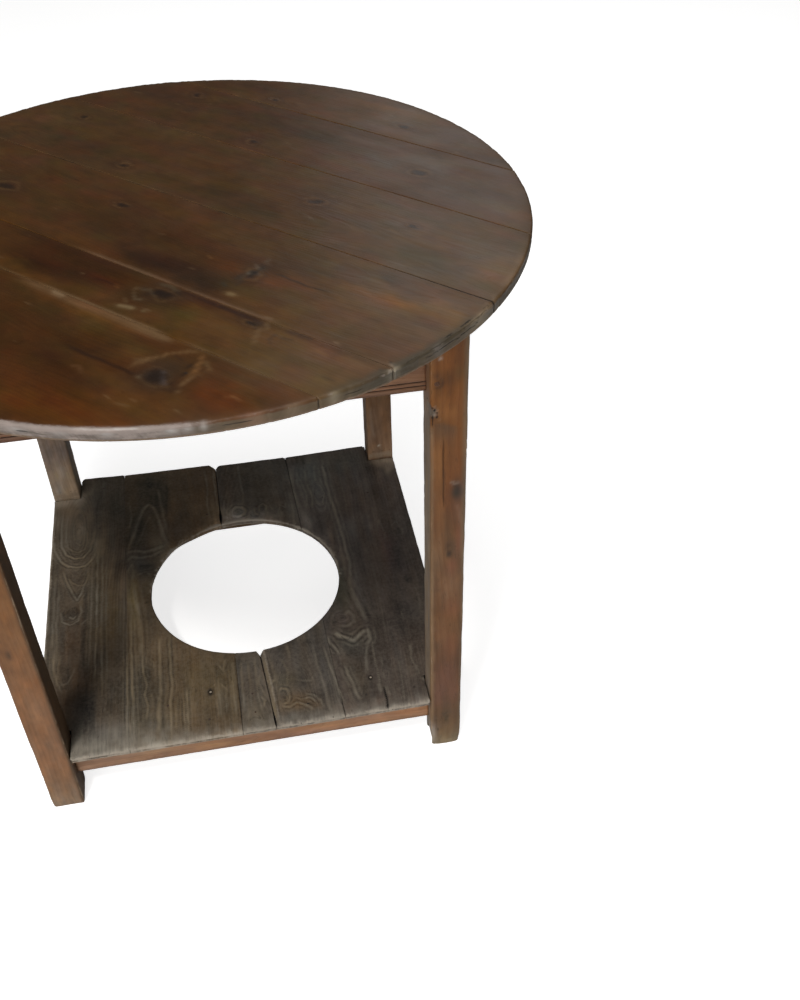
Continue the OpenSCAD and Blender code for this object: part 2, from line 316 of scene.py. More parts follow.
def plate_solid(upper, lower, n, r_top, r_bot, z0, z1, levels, top_rel, bot_rel, wall_rel):
    """Closes two flat meshes of one outline into a board: rounded edges, relief on both faces and on the wall.
    r_top and r_bot are per outline point. Returns vertices, triangles, quads, side (0 top, 1 bottom, 2 wall),
    the distance to the edge and the nearest outline point."""
    pts, tri, d, near = upper
    pts2, tri2, d2, near2 = lower
    rt, rb = r_top[near], r_bot[near2]
    drop_t = rt - np.sqrt(np.maximum(rt**2 - (rt - np.minimum(d, rt)) ** 2, 0))
    drop_b = rb - np.sqrt(np.maximum(rb**2 - (rb - np.minimum(d2, rb)) ** 2, 0))
    m, m2 = len(pts), len(pts2)
    top = np.column_stack([pts, z1 - drop_t - top_rel])
    bot = np.column_stack([pts2, z0 + drop_b + bot_rel])
    out = pts[:n]
    t = np.roll(out, -1, 0) - np.roll(out, 1, 0)
    t /= np.linalg.norm(t, axis=1, keepdims=True)
    inward = np.stack([-t[:, 1], t[:, 0]], 1)
    zt, zb = top[:n, 2], bot[:n, 2]
    walls = []
    for k in range(1, levels):
        z = zt + (zb - zt) * k / levels
        w = np.column_stack([out, z])
        w[:, :2] += inward * wall_rel(w, k)[:, None]
        walls.append(w)
    verts = np.concatenate([top, bot] + walls)
    base = m + m2
    rows = [np.arange(n)] + [base + (k - 1) * n + np.arange(n) for k in range(1, levels)] + [m + np.arange(n)]
    quads = []
    for a, b in zip(rows[:-1], rows[1:]):
        quads.append(np.column_stack([a, b, np.roll(b, -1), np.roll(a, -1)]))
    quads = np.concatenate(quads)
    tris = np.concatenate([tri, tri2[:, ::-1] + m])
    side = np.concatenate([np.zeros(m), np.ones(m2), np.full((levels - 1) * n, 2)]).astype(int)
    dist = np.concatenate([d, d2, np.zeros((levels - 1) * n)])
    nearest = np.concatenate([near, near2] + [np.arange(n)] * (levels - 1))
    return verts, tris, quads, side, dist, nearest


def sweep(sec, cs, inset, disp, caps=(0.2, 0.5, 0.8)):
    """A bar: the closed section sec (n, 2) at each place cs along it. inset draws a whole ring in near the ends,
    disp(a, b, c, arris) draws single points in. Returns vertices (a, b, c), triangles, quads and the arris distance."""
    n = len(sec)
    t = np.roll(sec, -1, 0) - np.roll(sec, 1, 0)
    t /= np.linalg.norm(t, axis=1, keepdims=True)
    normal = np.stack([t[:, 1], -t[:, 0]], 1)
    A, B = np.abs(sec[:, 0] - (sec[:, 0].max() + sec[:, 0].min()) / 2), np.abs(sec[:, 1] - (sec[:, 1].max() + sec[:, 1].min()) / 2)
    arris = np.maximum(A.max() - A, B.max() - B)
    rows, ar, end = [], [], []
    for c in cs:
        rows.append(np.column_stack([sec, np.full(n, c)]))
        ar.append(arris)
    verts = np.concatenate(rows)
    ar = np.concatenate(ar)
    nn = np.tile(normal, (len(cs), 1))
    pull = disp(verts[:, 0], verts[:, 1], verts[:, 2], ar, nn) + np.repeat(inset(np.array(cs)), n)
    verts[:, :2] -= nn * pull[:, None]
    quads = []
    for k in range(len(cs) - 1):
        a = k * n + np.arange(n)
        b = a + n
        quads.append(np.column_stack([a, np.roll(a, -1), np.roll(b, -1), b]))
    parts, dist = [verts], [ar]
    tris = []
    base = len(verts)
    isend = [np.zeros(len(verts))]
    for which, row in ((0, 0), (1, len(cs) - 1)):
        ring = verts[row * n : row * n + n]
        mid = ring.mean(0)
        last = row * n + np.arange(n)
        for s in caps:
            new = mid + (ring - mid) * (1 - s)
            parts.append(new)
            dist.append(np.minimum(ar[:n], 99) + s * 20)
            isend.append(np.ones(n))
            here = base + np.arange(n)
            base += n
            q = np.column_stack([last, here, np.roll(here, -1), np.roll(last, -1)])
            quads.append(q if which == 0 else q[:, ::-1])
            last = here
        parts.append(mid[None])
        dist.append([40.0])
        isend.append(np.ones(1))
        t3 = np.column_stack([last, np.full(n, base), np.roll(last, -1)])
        tris.append(t3 if which == 0 else t3[:, ::-1])
        base += 1
    return np.concatenate(parts), np.concatenate(tris), np.concatenate(quads), np.concatenate(dist), np.concatenate(isend)


def along(lo, hi, gap, fine=(0.0, 1.2, 2.6, 4.4, 7.0)):
    """Places along a bar, closer together at its ends."""
    body = np.arange(lo + fine[-1] + gap, hi - fine[-1] - gap * 0.5, gap)
    return np.concatenate([lo + np.array(fine), body, (hi - np.array(fine))[::-1]])


# ------------------------------------------------------------------ materials
class Net:
    """A small helper around a node tree."""

    def __init__(self, name):
        self.mat = bpy.data.materials.new(name)
        self.mat.use_nodes = True
        self.t = self.mat.node_tree
        self.t.nodes.clear()
        self.out = self.t.nodes.new("ShaderNodeOutputMaterial")
        self.p = self.t.nodes.new("ShaderNodeBsdfPrincipled")
        self.t.links.new(self.p.outputs[0], self.out.inputs[0])

    def put(self, socket, v):
        if isinstance(v, bpy.types.NodeSocket):
            self.t.links.new(v, socket)
        elif isinstance(v, (tuple, list, np.ndarray)):
            v = [float(x) for x in v]
            socket.default_value = v + [1.0] if len(socket.default_value) == 4 and len(v) == 3 else v
        else:
            socket.default_value = v

    def math(self, op, a, b=None, c=None, clamp=False):
        n = self.t.nodes.new("ShaderNodeMath")
        n.operation, n.use_clamp = op, clamp
        for i, v in enumerate((a, b, c)):
            if v is not None:
                self.put(n.inputs[i], v)
        return n.outputs[0]

    def mix(self, fac, a, b, mode="MIX"):
        n = self.t.nodes.new("ShaderNodeMix")
        n.data_type, n.blend_type, n.clamp_factor = "RGBA", mode, True
        self.put(n.inputs[0], fac)
        self.put(n.inputs[6], a)
        self.put(n.inputs[7], b)
        return n.outputs[2]

    def scale(self, colour, by):
        n = self.t.nodes.new("ShaderNodeVectorMath")
        n.operation = "SCALE"
        self.put(n.inputs[0], colour)
        self.put(n.inputs["Scale"], by)
        return n.outputs[0]

    def attr(self, name):
        n = self.t.nodes.new("ShaderNodeAttribute")
        n.attribute_name = name
        return n

    def split(self, v, colour=False):
        n = self.t.nodes.new("ShaderNodeSeparateColor" if colour else "ShaderNodeSeparateXYZ")
        self.put(n.inputs[0], v)
        return n.outputs[0], n.outputs[1], n.outputs[2]

    def join(self, x, y, z):
        n = self.t.nodes.new("ShaderNodeCombineXYZ")
        for i, v in enumerate((x, y, z)):
            self.put(n.inputs[i], v)
        return n.outputs[0]

    def noise(self, vector, scale=1.0, detail=2.0, rough=0.5, distort=0.0):
        n = self.t.nodes.new("ShaderNodeTexNoise")
        self.put(n.inputs["Vector"], vector)
        n.inputs["Scale"].default_value = scale
        n.inputs["Detail"].default_value = detail
        n.inputs["Roughness"].default_value = rough
        n.inputs["Distortion"].default_value = distort
        return n.outputs[0]

    def range(self, v, a, b, c=0.0, d=1.0, smooth=True):
        n = self.t.nodes.new("ShaderNodeMapRange")
        n.interpolation_type = "SMOOTHSTEP" if smooth else "LINEAR"
        self.put(n.inputs[0], v)
        for i, x in enumerate((a, b, c, d)):
            n.inputs[i + 1].default_value = x
        return n.outputs[0]

    def bump(self, height, distance, strength=1.0, normal=None):
        n = self.t.nodes.new("ShaderNodeBump")
        n.inputs["Strength"].default_value = strength
        n.inputs["Distance"].default_value = distance
        self.put(n.inputs["Height"], height)
        if normal is not None:
            self.put(n.inputs["Normal"], normal)
        return n.outputs[0]


def wood(name, ring=0.35, ring_col=(0.55, 0.45, 0.4), fibre=0.22, fine=0.14, streak=0.25, speck=0.35, wear_col=(0.3, 0.25, 0.2), dirt_and_shade_col=(0.012, 0.009, 0.007), knot_col=(0.02, 0.012, 0.008), rough=0.5, rough_var=0.18, gloss=0.25, bump=0.5, spec=0.5, wear_rough=0.72, mottling=0.2, wander=0.9):
    """Old wood. The mesh carries grain (ring count, mm along, mm through), tint (the board's colour where it is, with
    painted light and shade in places), mask (knot, rubbed, dirt with some painted shade) and more (wax, how strong the
    rings are, dust)."""
    w = Net(name)
    phi, run, thru = w.split(w.attr("grain").outputs["Vector"])
    tint = w.attr("tint").outputs["Color"]
    knot, rub, dirt_and_shade = w.split(w.attr("mask").outputs["Color"], True)
    wax, ringy, dust = w.split(w.attr("more").outputs["Color"], True)
    m = w.math
    v_fib = w.join(m("MULTIPLY", phi, 3.1), m("MULTIPLY", run, 0.035), m("MULTIPLY", thru, 0.03))
    v_fine = w.join(m("MULTIPLY", phi, 11.0), m("MULTIPLY", run, 0.11), m("MULTIPLY", thru, 0.09))
    v_str = w.join(m("MULTIPLY", phi, 0.75), m("MULTIPLY", run, 0.007), m("MULTIPLY", thru, 0.012))
    v_spk = w.join(m("MULTIPLY", phi, 5.0), m("MULTIPLY", run, 0.085), m("MULTIPLY", thru, 0.05))
    n_fib = w.noise(v_fib, 1.0, 4.0, 0.6)
    n_fine = w.noise(v_fine, 1.0, 2.0, 0.6)
    n_str = w.noise(v_str, 1.0, 3.0, 0.55)
    n_spk = w.noise(v_spk, 1.0, 2.0, 0.5)
    geo = w.t.nodes.new("ShaderNodeTexCoord").outputs["Object"]
    n_mot = w.noise(geo, 28.0, 4.0, 0.6)
    n_brk = w.noise(geo, 190.0, 3.0, 0.65)
    # late wood: a slow rise and a quick fall within each ring
    x = m("ADD", phi, m("MULTIPLY", m("SUBTRACT", n_str, 0.5), wander))
    fr = m("FRACT", x)
    late = m("MULTIPLY", w.range(fr, 0.30, 0.80), w.range(fr, 1.0, 0.90))
    late = m("MULTIPLY", late, m("ADD", 0.55, m("MULTIPLY", n_fib, 0.9)))
    late_a = m("MULTIPLY", m("MULTIPLY", late, ringy), ring, clamp=True)
    gain = m("ADD", 1.0, m("MULTIPLY", m("SUBTRACT", n_fib, 0.5), fibre * 2))
    gain = m("ADD", gain, m("MULTIPLY", m("SUBTRACT", n_fine, 0.5), fine * 2))
    gain = m("ADD", gain, m("MULTIPLY", m("SUBTRACT", n_str, 0.5), streak * 2))
    gain = m("ADD", gain, m("MULTIPLY", m("SUBTRACT", n_mot, 0.5), mottling * 2))
    col = w.scale(tint, m("MAXIMUM", gain, 0.15))
    rc = w.t.nodes.new("ShaderNodeVectorMath")
    rc.operation = "MULTIPLY"
    w.put(rc.inputs[0], tint)
    rc.inputs[1].default_value = ring_col
    col = w.mix(late_a, col, rc.outputs[0])
    spk = w.range(n_spk, 0.60, 0.74)
    col = w.mix(m("MULTIPLY", spk, speck), col, w.scale(tint, 0.35))
    kn = m("MULTIPLY", knot, m("ADD", 0.75, m("MULTIPLY", n_fib, 0.5)), clamp=True)
    col = w.mix(kn, col, knot_col)
    # rubbed edges break up along the grain
    edge = m("ADD", rub, m("MULTIPLY", m("SUBTRACT", n_brk, 0.5), 0.55))
    edge = m("ADD", edge, m("MULTIPLY", m("SUBTRACT", n_fib, 0.5), 0.45))
    wear = w.range(edge, 0.32, 0.85)
    wc = w.scale(wear_col, m("ADD", 0.62, m("MULTIPLY", n_mot, 0.75)))
    col = w.mix(m("MULTIPLY", wear, 0.92), col, wc)
    dst = m("MULTIPLY", dust, w.range(m("ADD", n_brk, m("MULTIPLY", n_mot, 0.5)), 0.55, 0.95), clamp=True)
    col = w.mix(dst, col, w.scale(wear_col, 1.15))
    # the third mask channel darkens toward its colour: dirt, and painted shade on one leg face
    dr = w.range(m("ADD", dirt_and_shade, m("MULTIPLY", m("SUBTRACT", n_brk, 0.5), 0.25)), 0.25, 0.9)
    col = w.mix(dr, col, dirt_and_shade_col)
    w.put(w.p.inputs["Base Color"], col)
    r = m("ADD", rough, m("MULTIPLY", m("SUBTRACT", n_fib, 0.5), rough_var))
    r = m("ADD", r, m("MULTIPLY", m("SUBTRACT", n_mot, 0.5), rough_var))
    r = m("SUBTRACT", r, m("MULTIPLY", wax, gloss))
    wet = w.t.nodes.new("ShaderNodeMix")
    wet.data_type = "FLOAT"
    w.put(wet.inputs[0], m("MAXIMUM", wear, dr))
    w.put(wet.inputs[2], r)
    wet.inputs[3].default_value = wear_rough
    w.put(w.p.inputs["Roughness"], m("MAXIMUM", wet.outputs[0], 0.12))
    w.p.inputs["Specular IOR Level"].default_value = spec
    h = m("MULTIPLY", late, m("MULTIPLY", ringy, 0.5))
    h = m("ADD", h, m("MULTIPLY", n_fib, 0.55))
    h = m("ADD", h, m("MULTIPLY", n_fine, 0.28))
    h = m("SUBTRACT", h, m("MULTIPLY", spk, 0.5))
    h = m("ADD", h, m("MULTIPLY", m("MULTIPLY", wear, n_brk), 0.7))
    w.put(w.p.inputs["Normal"], w.bump(h, 0.0006, bump))
    return w.mat


def iron(name):
    w = Net(name)
    geo = w.t.nodes.new("ShaderNodeTexCoord").outputs["Object"]
    a = w.noise(geo, 420.0, 4.0, 0.65)
    b = w.noise(geo, 90.0, 3.0, 0.6)
    rust = w.range(w.math("ADD", w.math("MULTIPLY", a, 0.5), w.math("MULTIPLY", b, 0.7)), 0.5, 0.75)
    col = w.mix(rust, (0.085, 0.075, 0.066), (0.075, 0.034, 0.018))
    # rubbed heads are painted pale and not metallic: worn iron, with a painted highlight
    shine = w.split(w.attr("mask").outputs["Color"], True)[1]
    col = w.mix(shine, col, (0.62, 0.52, 0.40))
    w.put(w.p.inputs["Base Color"], col)
    w.put(w.p.inputs["Metallic"], w.math("MULTIPLY", w.range(rust, 0.1, 0.9, 0.85, 0.1), w.math("SUBTRACT", 1.0, shine)))
    w.put(w.p.inputs["Roughness"], w.range(rust, 0.0, 1.0, 0.42, 0.85))
    w.put(w.p.inputs["Normal"], w.bump(a, 0.0004, 0.7))
    return w.mat


MAT_TOP = wood("top_wood", ring=0.19, ring_col=(0.62, 0.55, 0.48), fibre=0.08, fine=0.03, streak=0.13, speck=0.14, wear_col=lin(142, 130, 123), dirt_and_shade_col=lin(20, 14, 9), knot_col=lin(30, 21, 16), rough=0.50, rough_var=0.10, gloss=0.20, bump=0.14, spec=0.40, mottling=0.20, wander=0.5)
MAT_LEG = wood("leg_wood", ring=0.28, ring_col=(0.70, 0.61, 0.52), fibre=0.15, fine=0.08, streak=0.22, speck=0.35, wear_col=lin(150, 130, 108), dirt_and_shade_col=lin(22, 16, 11), knot_col=lin(40, 28, 20), rough=0.56, gloss=0.12, bump=0.4, spec=0.28, wander=0.5)
MAT_APRON = wood("apron_wood", ring=0.35, ring_col=(0.7, 0.62, 0.55), fibre=0.14, streak=0.18, wear_col=lin(146, 112, 86), dirt_and_shade_col=lin(26, 16, 11), rough=0.56, bump=0.35, spec=0.3, wander=0.5)
MAT_RAIL = wood("rail_wood", ring=0.35, ring_col=(0.76, 0.66, 0.56), fibre=0.14, streak=0.18, wear_col=lin(176, 142, 112), dirt_and_shade_col=lin(30, 20, 13), rough=0.58, bump=0.35, spec=0.3, wander=0.5)
MAT_SHELF = wood("shelf_wood", ring=0.42, ring_col=(1.75, 1.75, 1.72), fibre=0.26, fine=0.16, streak=0.26, speck=0.5, wear_col=lin(158, 148, 134), dirt_and_shade_col=lin(18, 15, 12), knot_col=lin(30, 24, 19), rough=0.68, gloss=0.1, bump=0.8, spec=0.28, mottling=0.3, wander=0.25)
MAT_HIDDEN = wood("hidden_wood", ring=0.45, ring_col=(0.7, 0.6, 0.5), fibre=0.22, streak=0.3, wear_col=lin(130, 108, 84), rough=0.72, bump=0.5, spec=0.25)
MAT_PEG = wood("peg_wood", ring=0.4, fibre=0.2, streak=0.2, wear_col=lin(126, 100, 72), rough=0.6, bump=0.4, spec=0.3)
MAT_IRON = iron("nail_iron")


def fields(phi, run, thru, tint, knot=0.0, rub=0.0, dirt_and_shade=0.0, wax=0.0, ringy=1.0, dust=0.0):
    n = len(phi)
    z = lambda v: np.broadcast_to(np.asarray(v, float), (n,))
    one = np.ones(n)
    return {
        "grain": np.column_stack([phi, run, z(thru)]),
        "tint": np.column_stack([np.clip(tint, 0, 4), one]),
        "mask": np.column_stack([np.clip(z(knot), 0, 1), np.clip(z(rub), 0, 1.5), np.clip(z(dirt_and_shade), 0, 1), one]),
        "more": np.column_stack([z(wax), z(ringy), z(dust), one]),
    }


def paint(x, y, base, blobs, seed=1, warp=6.0):
    """A colour field: a base and soft patches (x, y, half length, half width, colour, strength[, angle])."""
    col = np.array(base, float)
    col = np.broadcast_to(col, (len(x), 3)).copy()
    wx = x + warp * nz(x, y, x * 0, 40, 40, 1, seed)
    wy = y + warp * nz(x, y, x * 0, 40, 40, 1, seed + 5)
    for b in blobs:
        cx, cy, rx, ry, c, s = b[:6]
        a = math.radians(b[6]) if len(b) > 6 else 0.0
        dx, dy = wx - cx, wy - cy
        u, v = dx * math.cos(a) + dy * math.sin(a), -dx * math.sin(a) + dy * math.cos(a)
        m = s * np.exp(-1.1 * ((u / rx) ** 2 + (v / ry) ** 2))
        col = col * (1 - m[:, None]) + lin(*c)[None] * m[:, None]
    return col


# ------------------------------------------------------------------ the top
TOP_R, TOP_Z0, TOP_Z1 = 433.4, 734.0, 750.0
TOP_JOINTS = [-434.0, -209.5, -130.5, 31.0, 185.0, 320.0, 434.0]


def top_outline(i):
    lo, hi = TOP_JOINTS[i], TOP_JOINTS[i + 1]
    R = TOP_R
    gap = 0.28
    lo2 = max(lo + gap, -R + 0.5)
    hi2 = min(hi - gap, R - 0.5)
    pts = []
    if i > 0:
        a = math.sqrt(R * R - lo2 * lo2)
        pts += [(u, lo2) for u in np.linspace(-a, a, max(8, int(2 * a / 3.0)))]
        t0 = math.atan2(lo2, a)
    else:
        t0 = -math.pi / 2
    t1 = math.atan2(hi2, math.sqrt(max(R * R - hi2 * hi2, 0))) if i < 5 else math.pi / 2
    arc = np.linspace(t0, t1, max(10, int((t1 - t0) * R / 2.2)))
    pts += [(R * math.cos(t), R * math.sin(t)) for t in arc[1:]]
    if i < 5:
        a = math.sqrt(R * R - hi2 * hi2)
        pts += [(u, hi2) for u in np.linspace(a, -a, max(8, int(2 * a / 3.0)))[1:]]
    arc = np.linspace(math.pi - t1, math.pi - t0, max(10, int((t1 - t0) * R / 2.2)))
    pts += [(R * math.cos(t), R * math.sin(t)) for t in arc[1:-1]]
    if i == 0:
        pts += [(-1.0, -R)]
    return spacing_out(np.array(pts), 1.0)


def joint_fill(u, v):
    """1 where old filler and wax close a joint of the top, else 0."""
    a = np.exp(-(((v + 209.5) / 4) ** 4)) * step(u, -90, -50)
    b = np.exp(-(((v + 130.5) / 4) ** 4)) * step(u, -90, -50)
    c = np.exp(-(((v - 31) / 4) ** 4)) * step(u, 424, 430)
    return np.maximum(np.maximum(a, b), c)


def build_top():
    for i in range(6):
        out = top_outline(i)
        if area(out) < 0:
            out = out[::-1]
        n = len(out)
        rad = np.hypot(out[:, 0], out[:, 1])
        rim = rad > TOP_R - 0.6
        ang = np.arctan2(out[:, 1], out[:, 0])
        # the rim wanders a little, inward only
        zz = np.full(n, i * 10.0)
        wob = 0.5 + 0.5 * nz(out[:, 0], out[:, 1], zz, 30, 30, 9, 3)
        chip = step(nz(out[:, 0], out[:, 1], zz, 9, 9, 9, 8, 2), 0.35, 0.8)
        chip = np.maximum(chip, 0.8 * bell(np.degrees(ang) + 45, -49, 9) * (0.5 + 0.5 * nz(out[:, 0], out[:, 1], zz, 7, 7, 9, 9)))
        pull = np.where(rim, 0.5 * wob + 1.1 * chip, 0.0)
        filled = joint_fill(out[:, 0], out[:, 1])
        toward = np.sign(out[:, 1] - 0.5 * (TOP_JOINTS[i] + TOP_JOINTS[i + 1]))
        out[:, 1] += np.where(rim, 0.0, 0.22 * filled * toward)
        out = out * (1 - (pull / np.maximum(rad, 1))[:, None])
        r_top = np.where(rim, 2.8 + 1.2 * nz(out[:, 0], out[:, 1], zz, 22, 22, 9, 11), 0.8 - 0.55 * filled)
        r_bot = np.where(rim, 2.0, 0.6)
        upper = plate_mesh(out, 5.0, 2.1, (0.45, 1.0, 1.8, 2.8, 4.2, 6.5))
        lower = plate_mesh(out, 16.0, 7.0, (0.8, 2.0, 5.0))
        pts, tri, d, near = upper
        u, v = pts[:, 0], pts[:, 1]
        x, y = (u + v) / math.sqrt(2), (v - u) / math.sqrt(2)
        z = u * 0
        relief = 0.35 + 0.35 * nz(u, v, z, 240, 60, 1, 21 + i) + 0.10 * nz(u, v, z, 30, 5, 1, 22 + i)
        isrim = rim[near]
        crust = np.where(isrim, np.exp(-((d / 5.0) ** 2)), 0) * (0.5 + 0.5 * nz(x, y, z, 5, 5, 1, 31)) * 0.9
        relief = np.clip(relief + crust, 0.02, 3.0)

        def wall(w, k):
            xx, yy = (w[:, 0] + w[:, 1]) / math.sqrt(2), (w[:, 1] - w[:, 0]) / math.sqrt(2)
            rough = nz(xx, yy, w[:, 2], 14, 14, 3, 41) * 0.5 + nz(xx, yy, w[:, 2], 3.5, 3.5, 2.5, 42) * 0.35
            # below the groove the boards all but touch, so no light shows through a joint
            shut = -(0.275 - 0.22 * filled) * (1 - step(w[:, 2], TOP_Z1 - 6, TOP_Z1 - 3))
            return np.where(rim, np.clip(0.2 + rough, -0.25, 1.2), shut)

        verts, tris, quads, side, dist, nearest = plate_solid(upper, lower, n, r_top, r_bot, TOP_Z0, TOP_Z1, 7, relief, 0.1, wall)
        U, V, Z = verts[:, 0], verts[:, 1], verts[:, 2]
        X, Y = (U + V) / math.sqrt(2), (V - U) / math.sqrt(2)
        f = top_fields(i, U, V, Z, X, Y, side, dist, rim[nearest])
        world = np.column_stack([X, Y, Z])
        make("top_board_%d_wood" % (i + 1), world, tris, quads, f, [MAT_TOP], ["top_board_%d" % (i + 1)])


def around(x, y, knots):
    """Bends the lines y = constant around knots (x, y, half length, half height), as grain does.
    Returns the bent y, the nearest knot's size-free distance and its ring count."""
    yy = y.copy()
    near = np.full(len(x), 9.0)
    for cx, cy, rx, ry in knots:
        u, v = (x - cx) / rx, (y - cy) / ry
        r = np.sqrt((u * 0.62) ** 2 + v**2) + 1e-6
        push = np.minimum(1.0, 1.0 / r**2) * np.exp(-((u / 5.0) ** 2) - (v / 3.2) ** 2)
        yy = yy - (y - cy) * push
        near = np.minimum(near, np.sqrt(u**2 + v**2))
    return yy, near


def mark(col, m, c):
    """Lays colour c (as albedo, 0 to 255) over col with the strength m at each point."""
    m = np.clip(m, 0, 1)[:, None]
    return col * (1 - m) + lin(*c)[None] * m


# colours of the top's boards and of the patches on them: (along, across, half length, half width, colour, strength)
TOP_BASE = [(73, 46, 20), (78, 51, 23), (76, 50, 24), (78, 54, 28), (76, 50, 26), (80, 54, 27)]
TOP_PATCH = [
    [(330, -250, 60, 60, (88, 58, 28), 0.6), (-20, -300, 70, 80, (60, 38, 18), 0.7), (40, -238, 70, 16, (66, 47, 24), 0.8), (90, -214, 70, 7, (94, 59, 31), 0.9), (60, -255, 45, 12, (62, 39, 15), 0.8), (125, -262, 60, 10, (60, 36, 13), 0.8),
     (140, -298, 55, 12, (68, 39, 14), 0.8), (120, -330, 50, 18, (70, 40, 9), 0.8), (175, -352, 70, 16, (92, 52, 17), 0.9), (215, -335, 60, 16, (88, 50, 17), 0.8),
     (255, -302, 60, 16, (87, 55, 23), 0.8), (285, -250, 34, 18, (100, 52, 17), 0.9), (322, -262, 28, 16, (92, 52, 14), 0.8), (180, -285, 50, 12, (76, 50, 26), 0.7),
     (125, -228, 55, 10, (73, 51, 29), 0.8), (172, -248, 22, 12, (92, 62, 32), 0.6), (95, -292, 25, 9, (58, 34, 17), 0.7), (20, -300, 60, 24, (66, 42, 20), 0.7),
     (-60, -250, 80, 20, (72, 44, 20), 0.7), (-150, -280, 80, 25, (62, 40, 20), 0.7), (-230, -250, 60, 20, (84, 55, 28), 0.7), (-40, -340, 90, 18, (88, 52, 20), 0.7), (-160, -345, 60, 14, (80, 48, 20), 0.6)],
    [(320, -165, 90, 50, (94, 70, 42), 0.75), (-20, -150, 90, 30, (54, 31, 12), 0.95), (-5, -140, 75, 13, (52, 27, 6), 0.9), (-60, -166, 70, 14, (54, 29, 8), 0.9), (45, -157, 40, 7, (62, 29, 9), 0.8), (60, -184, 45, 9, (78, 52, 25), 0.8),
     (165, -168, 45, 16, (76, 56, 28), 0.8), (205, -158, 40, 14, (88, 63, 35), 0.7), (265, -152, 26, 13, (92, 64, 38), 0.8), (335, -140, 40, 12, (107, 73, 42), 0.9),
     (350, -172, 40, 12, (94, 69, 38), 0.8), (300, -182, 40, 12, (80, 62, 40), 0.8), (150, -137, 40, 6, (58, 30, 14), 0.7), (200, -133, 45, 4, (58, 32, 16), 0.7),
     (90, -160, 30, 16, (70, 54, 34), 0.6), (-150, -150, 80, 16, (70, 42, 18), 0.7), (-240, -170, 80, 18, (84, 58, 30), 0.7), (-330, -150, 60, 18, (72, 52, 30), 0.7)],
    [(345, -45, 110, 90, (92, 67, 39), 0.75), (250, -100, 60, 30, (82, 60, 36), 0.6), (60, -98, 62, 20, (46, 24, 8), 0.95), (132, -100, 32, 17, (50, 34, 18), 0.9), (112, -60, 34, 16, (77, 45, 15), 0.85), (70, -45, 60, 20, (66, 36, 12), 0.7),
     (200, -62, 40, 14, (88, 58, 34), 0.7), (225, -18, 45, 16, (74, 52, 30), 0.7), (250, -92, 50, 16, (78, 56, 32), 0.7), (298, -60, 45, 12, (90, 57, 24), 0.7),
     (300, -28, 40, 8, (106, 68, 28), 0.8), (348, -24, 42, 9, (112, 74, 28), 0.9), (350, -76, 50, 18, (80, 58, 32), 0.8), (300, 12, 30, 12, (66, 50, 28), 0.8),
     (382, -8, 26, 12, (108, 77, 39), 0.8), (390, -100, 26, 14, (84, 60, 37), 0.7), (185, -20, 40, 18, (64, 44, 22), 0.6), (-40, -60, 90, 30, (56, 32, 12), 0.7),
     (-160, -20, 90, 22, (74, 46, 20), 0.7), (-260, -80, 80, 22, (62, 42, 22), 0.7), (-350, -20, 60, 26, (86, 60, 32), 0.7), (-120, -108, 60, 10, (82, 54, 26), 0.6)],
    [(360, 90, 90, 60, (92, 68, 42), 0.75), (280, 62, 60, 22, (70, 58, 34), 0.7), (340, 60, 40, 18, (72, 50, 23), 0.6), (392, 80, 22, 26, (97, 67, 37), 0.8), (400, 48, 22, 12, (76, 57, 28), 0.6),
     (180, 90, 90, 24, (70, 48, 26), 0.7), (40, 60, 100, 20, (58, 38, 19), 0.7), (-90, 110, 100, 24, (76, 48, 22), 0.7), (-230, 70, 90, 26, (64, 44, 24), 0.7), (-350, 110, 60, 24, (88, 62, 34), 0.7), (330, 140, 70, 20, (84, 60, 34), 0.6)],
    [(260, 230, 90, 26, (70, 50, 29), 0.7), (110, 210, 90, 18, (86, 58, 30), 0.6), (-20, 260, 90, 22, (60, 42, 23), 0.7), (-180, 220, 90, 24, (78, 52, 26), 0.7), (-290, 260, 60, 22, (66, 46, 26), 0.7), (330, 200, 40, 22, (92, 64, 36), 0.7)],
    [(160, 350, 70, 18, (72, 48, 24), 0.7), (20, 340, 80, 20, (88, 58, 28), 0.7), (-130, 350, 80, 20, (68, 46, 24), 0.7), (60, 385, 90, 12, (96, 62, 30), 0.7), (220, 320, 40, 10, (62, 42, 22), 0.7)],
]
TOP_KNOTS = [
    [(211, -260, 16, 12), (-120, -235, 9, 6), (30, -345, 6, 4)],
    [(113, -145, 14, 9), (232, -138, 8, 5), (-180, -148, 10, 7)],
    [(165, -62, 8, 11), (-70, -20, 8, 6), (-230, -60, 13, 9)],
    [(120, 110, 12, 8), (-150, 60, 9, 6), (-300, 140, 7, 5), (250, 120, 6, 4)],
    [(180, 240, 10, 7), (-60, 200, 8, 5), (-220, 280, 9, 7)],
    [(90, 345, 9, 6), (-120, 325, 7, 5)],
]


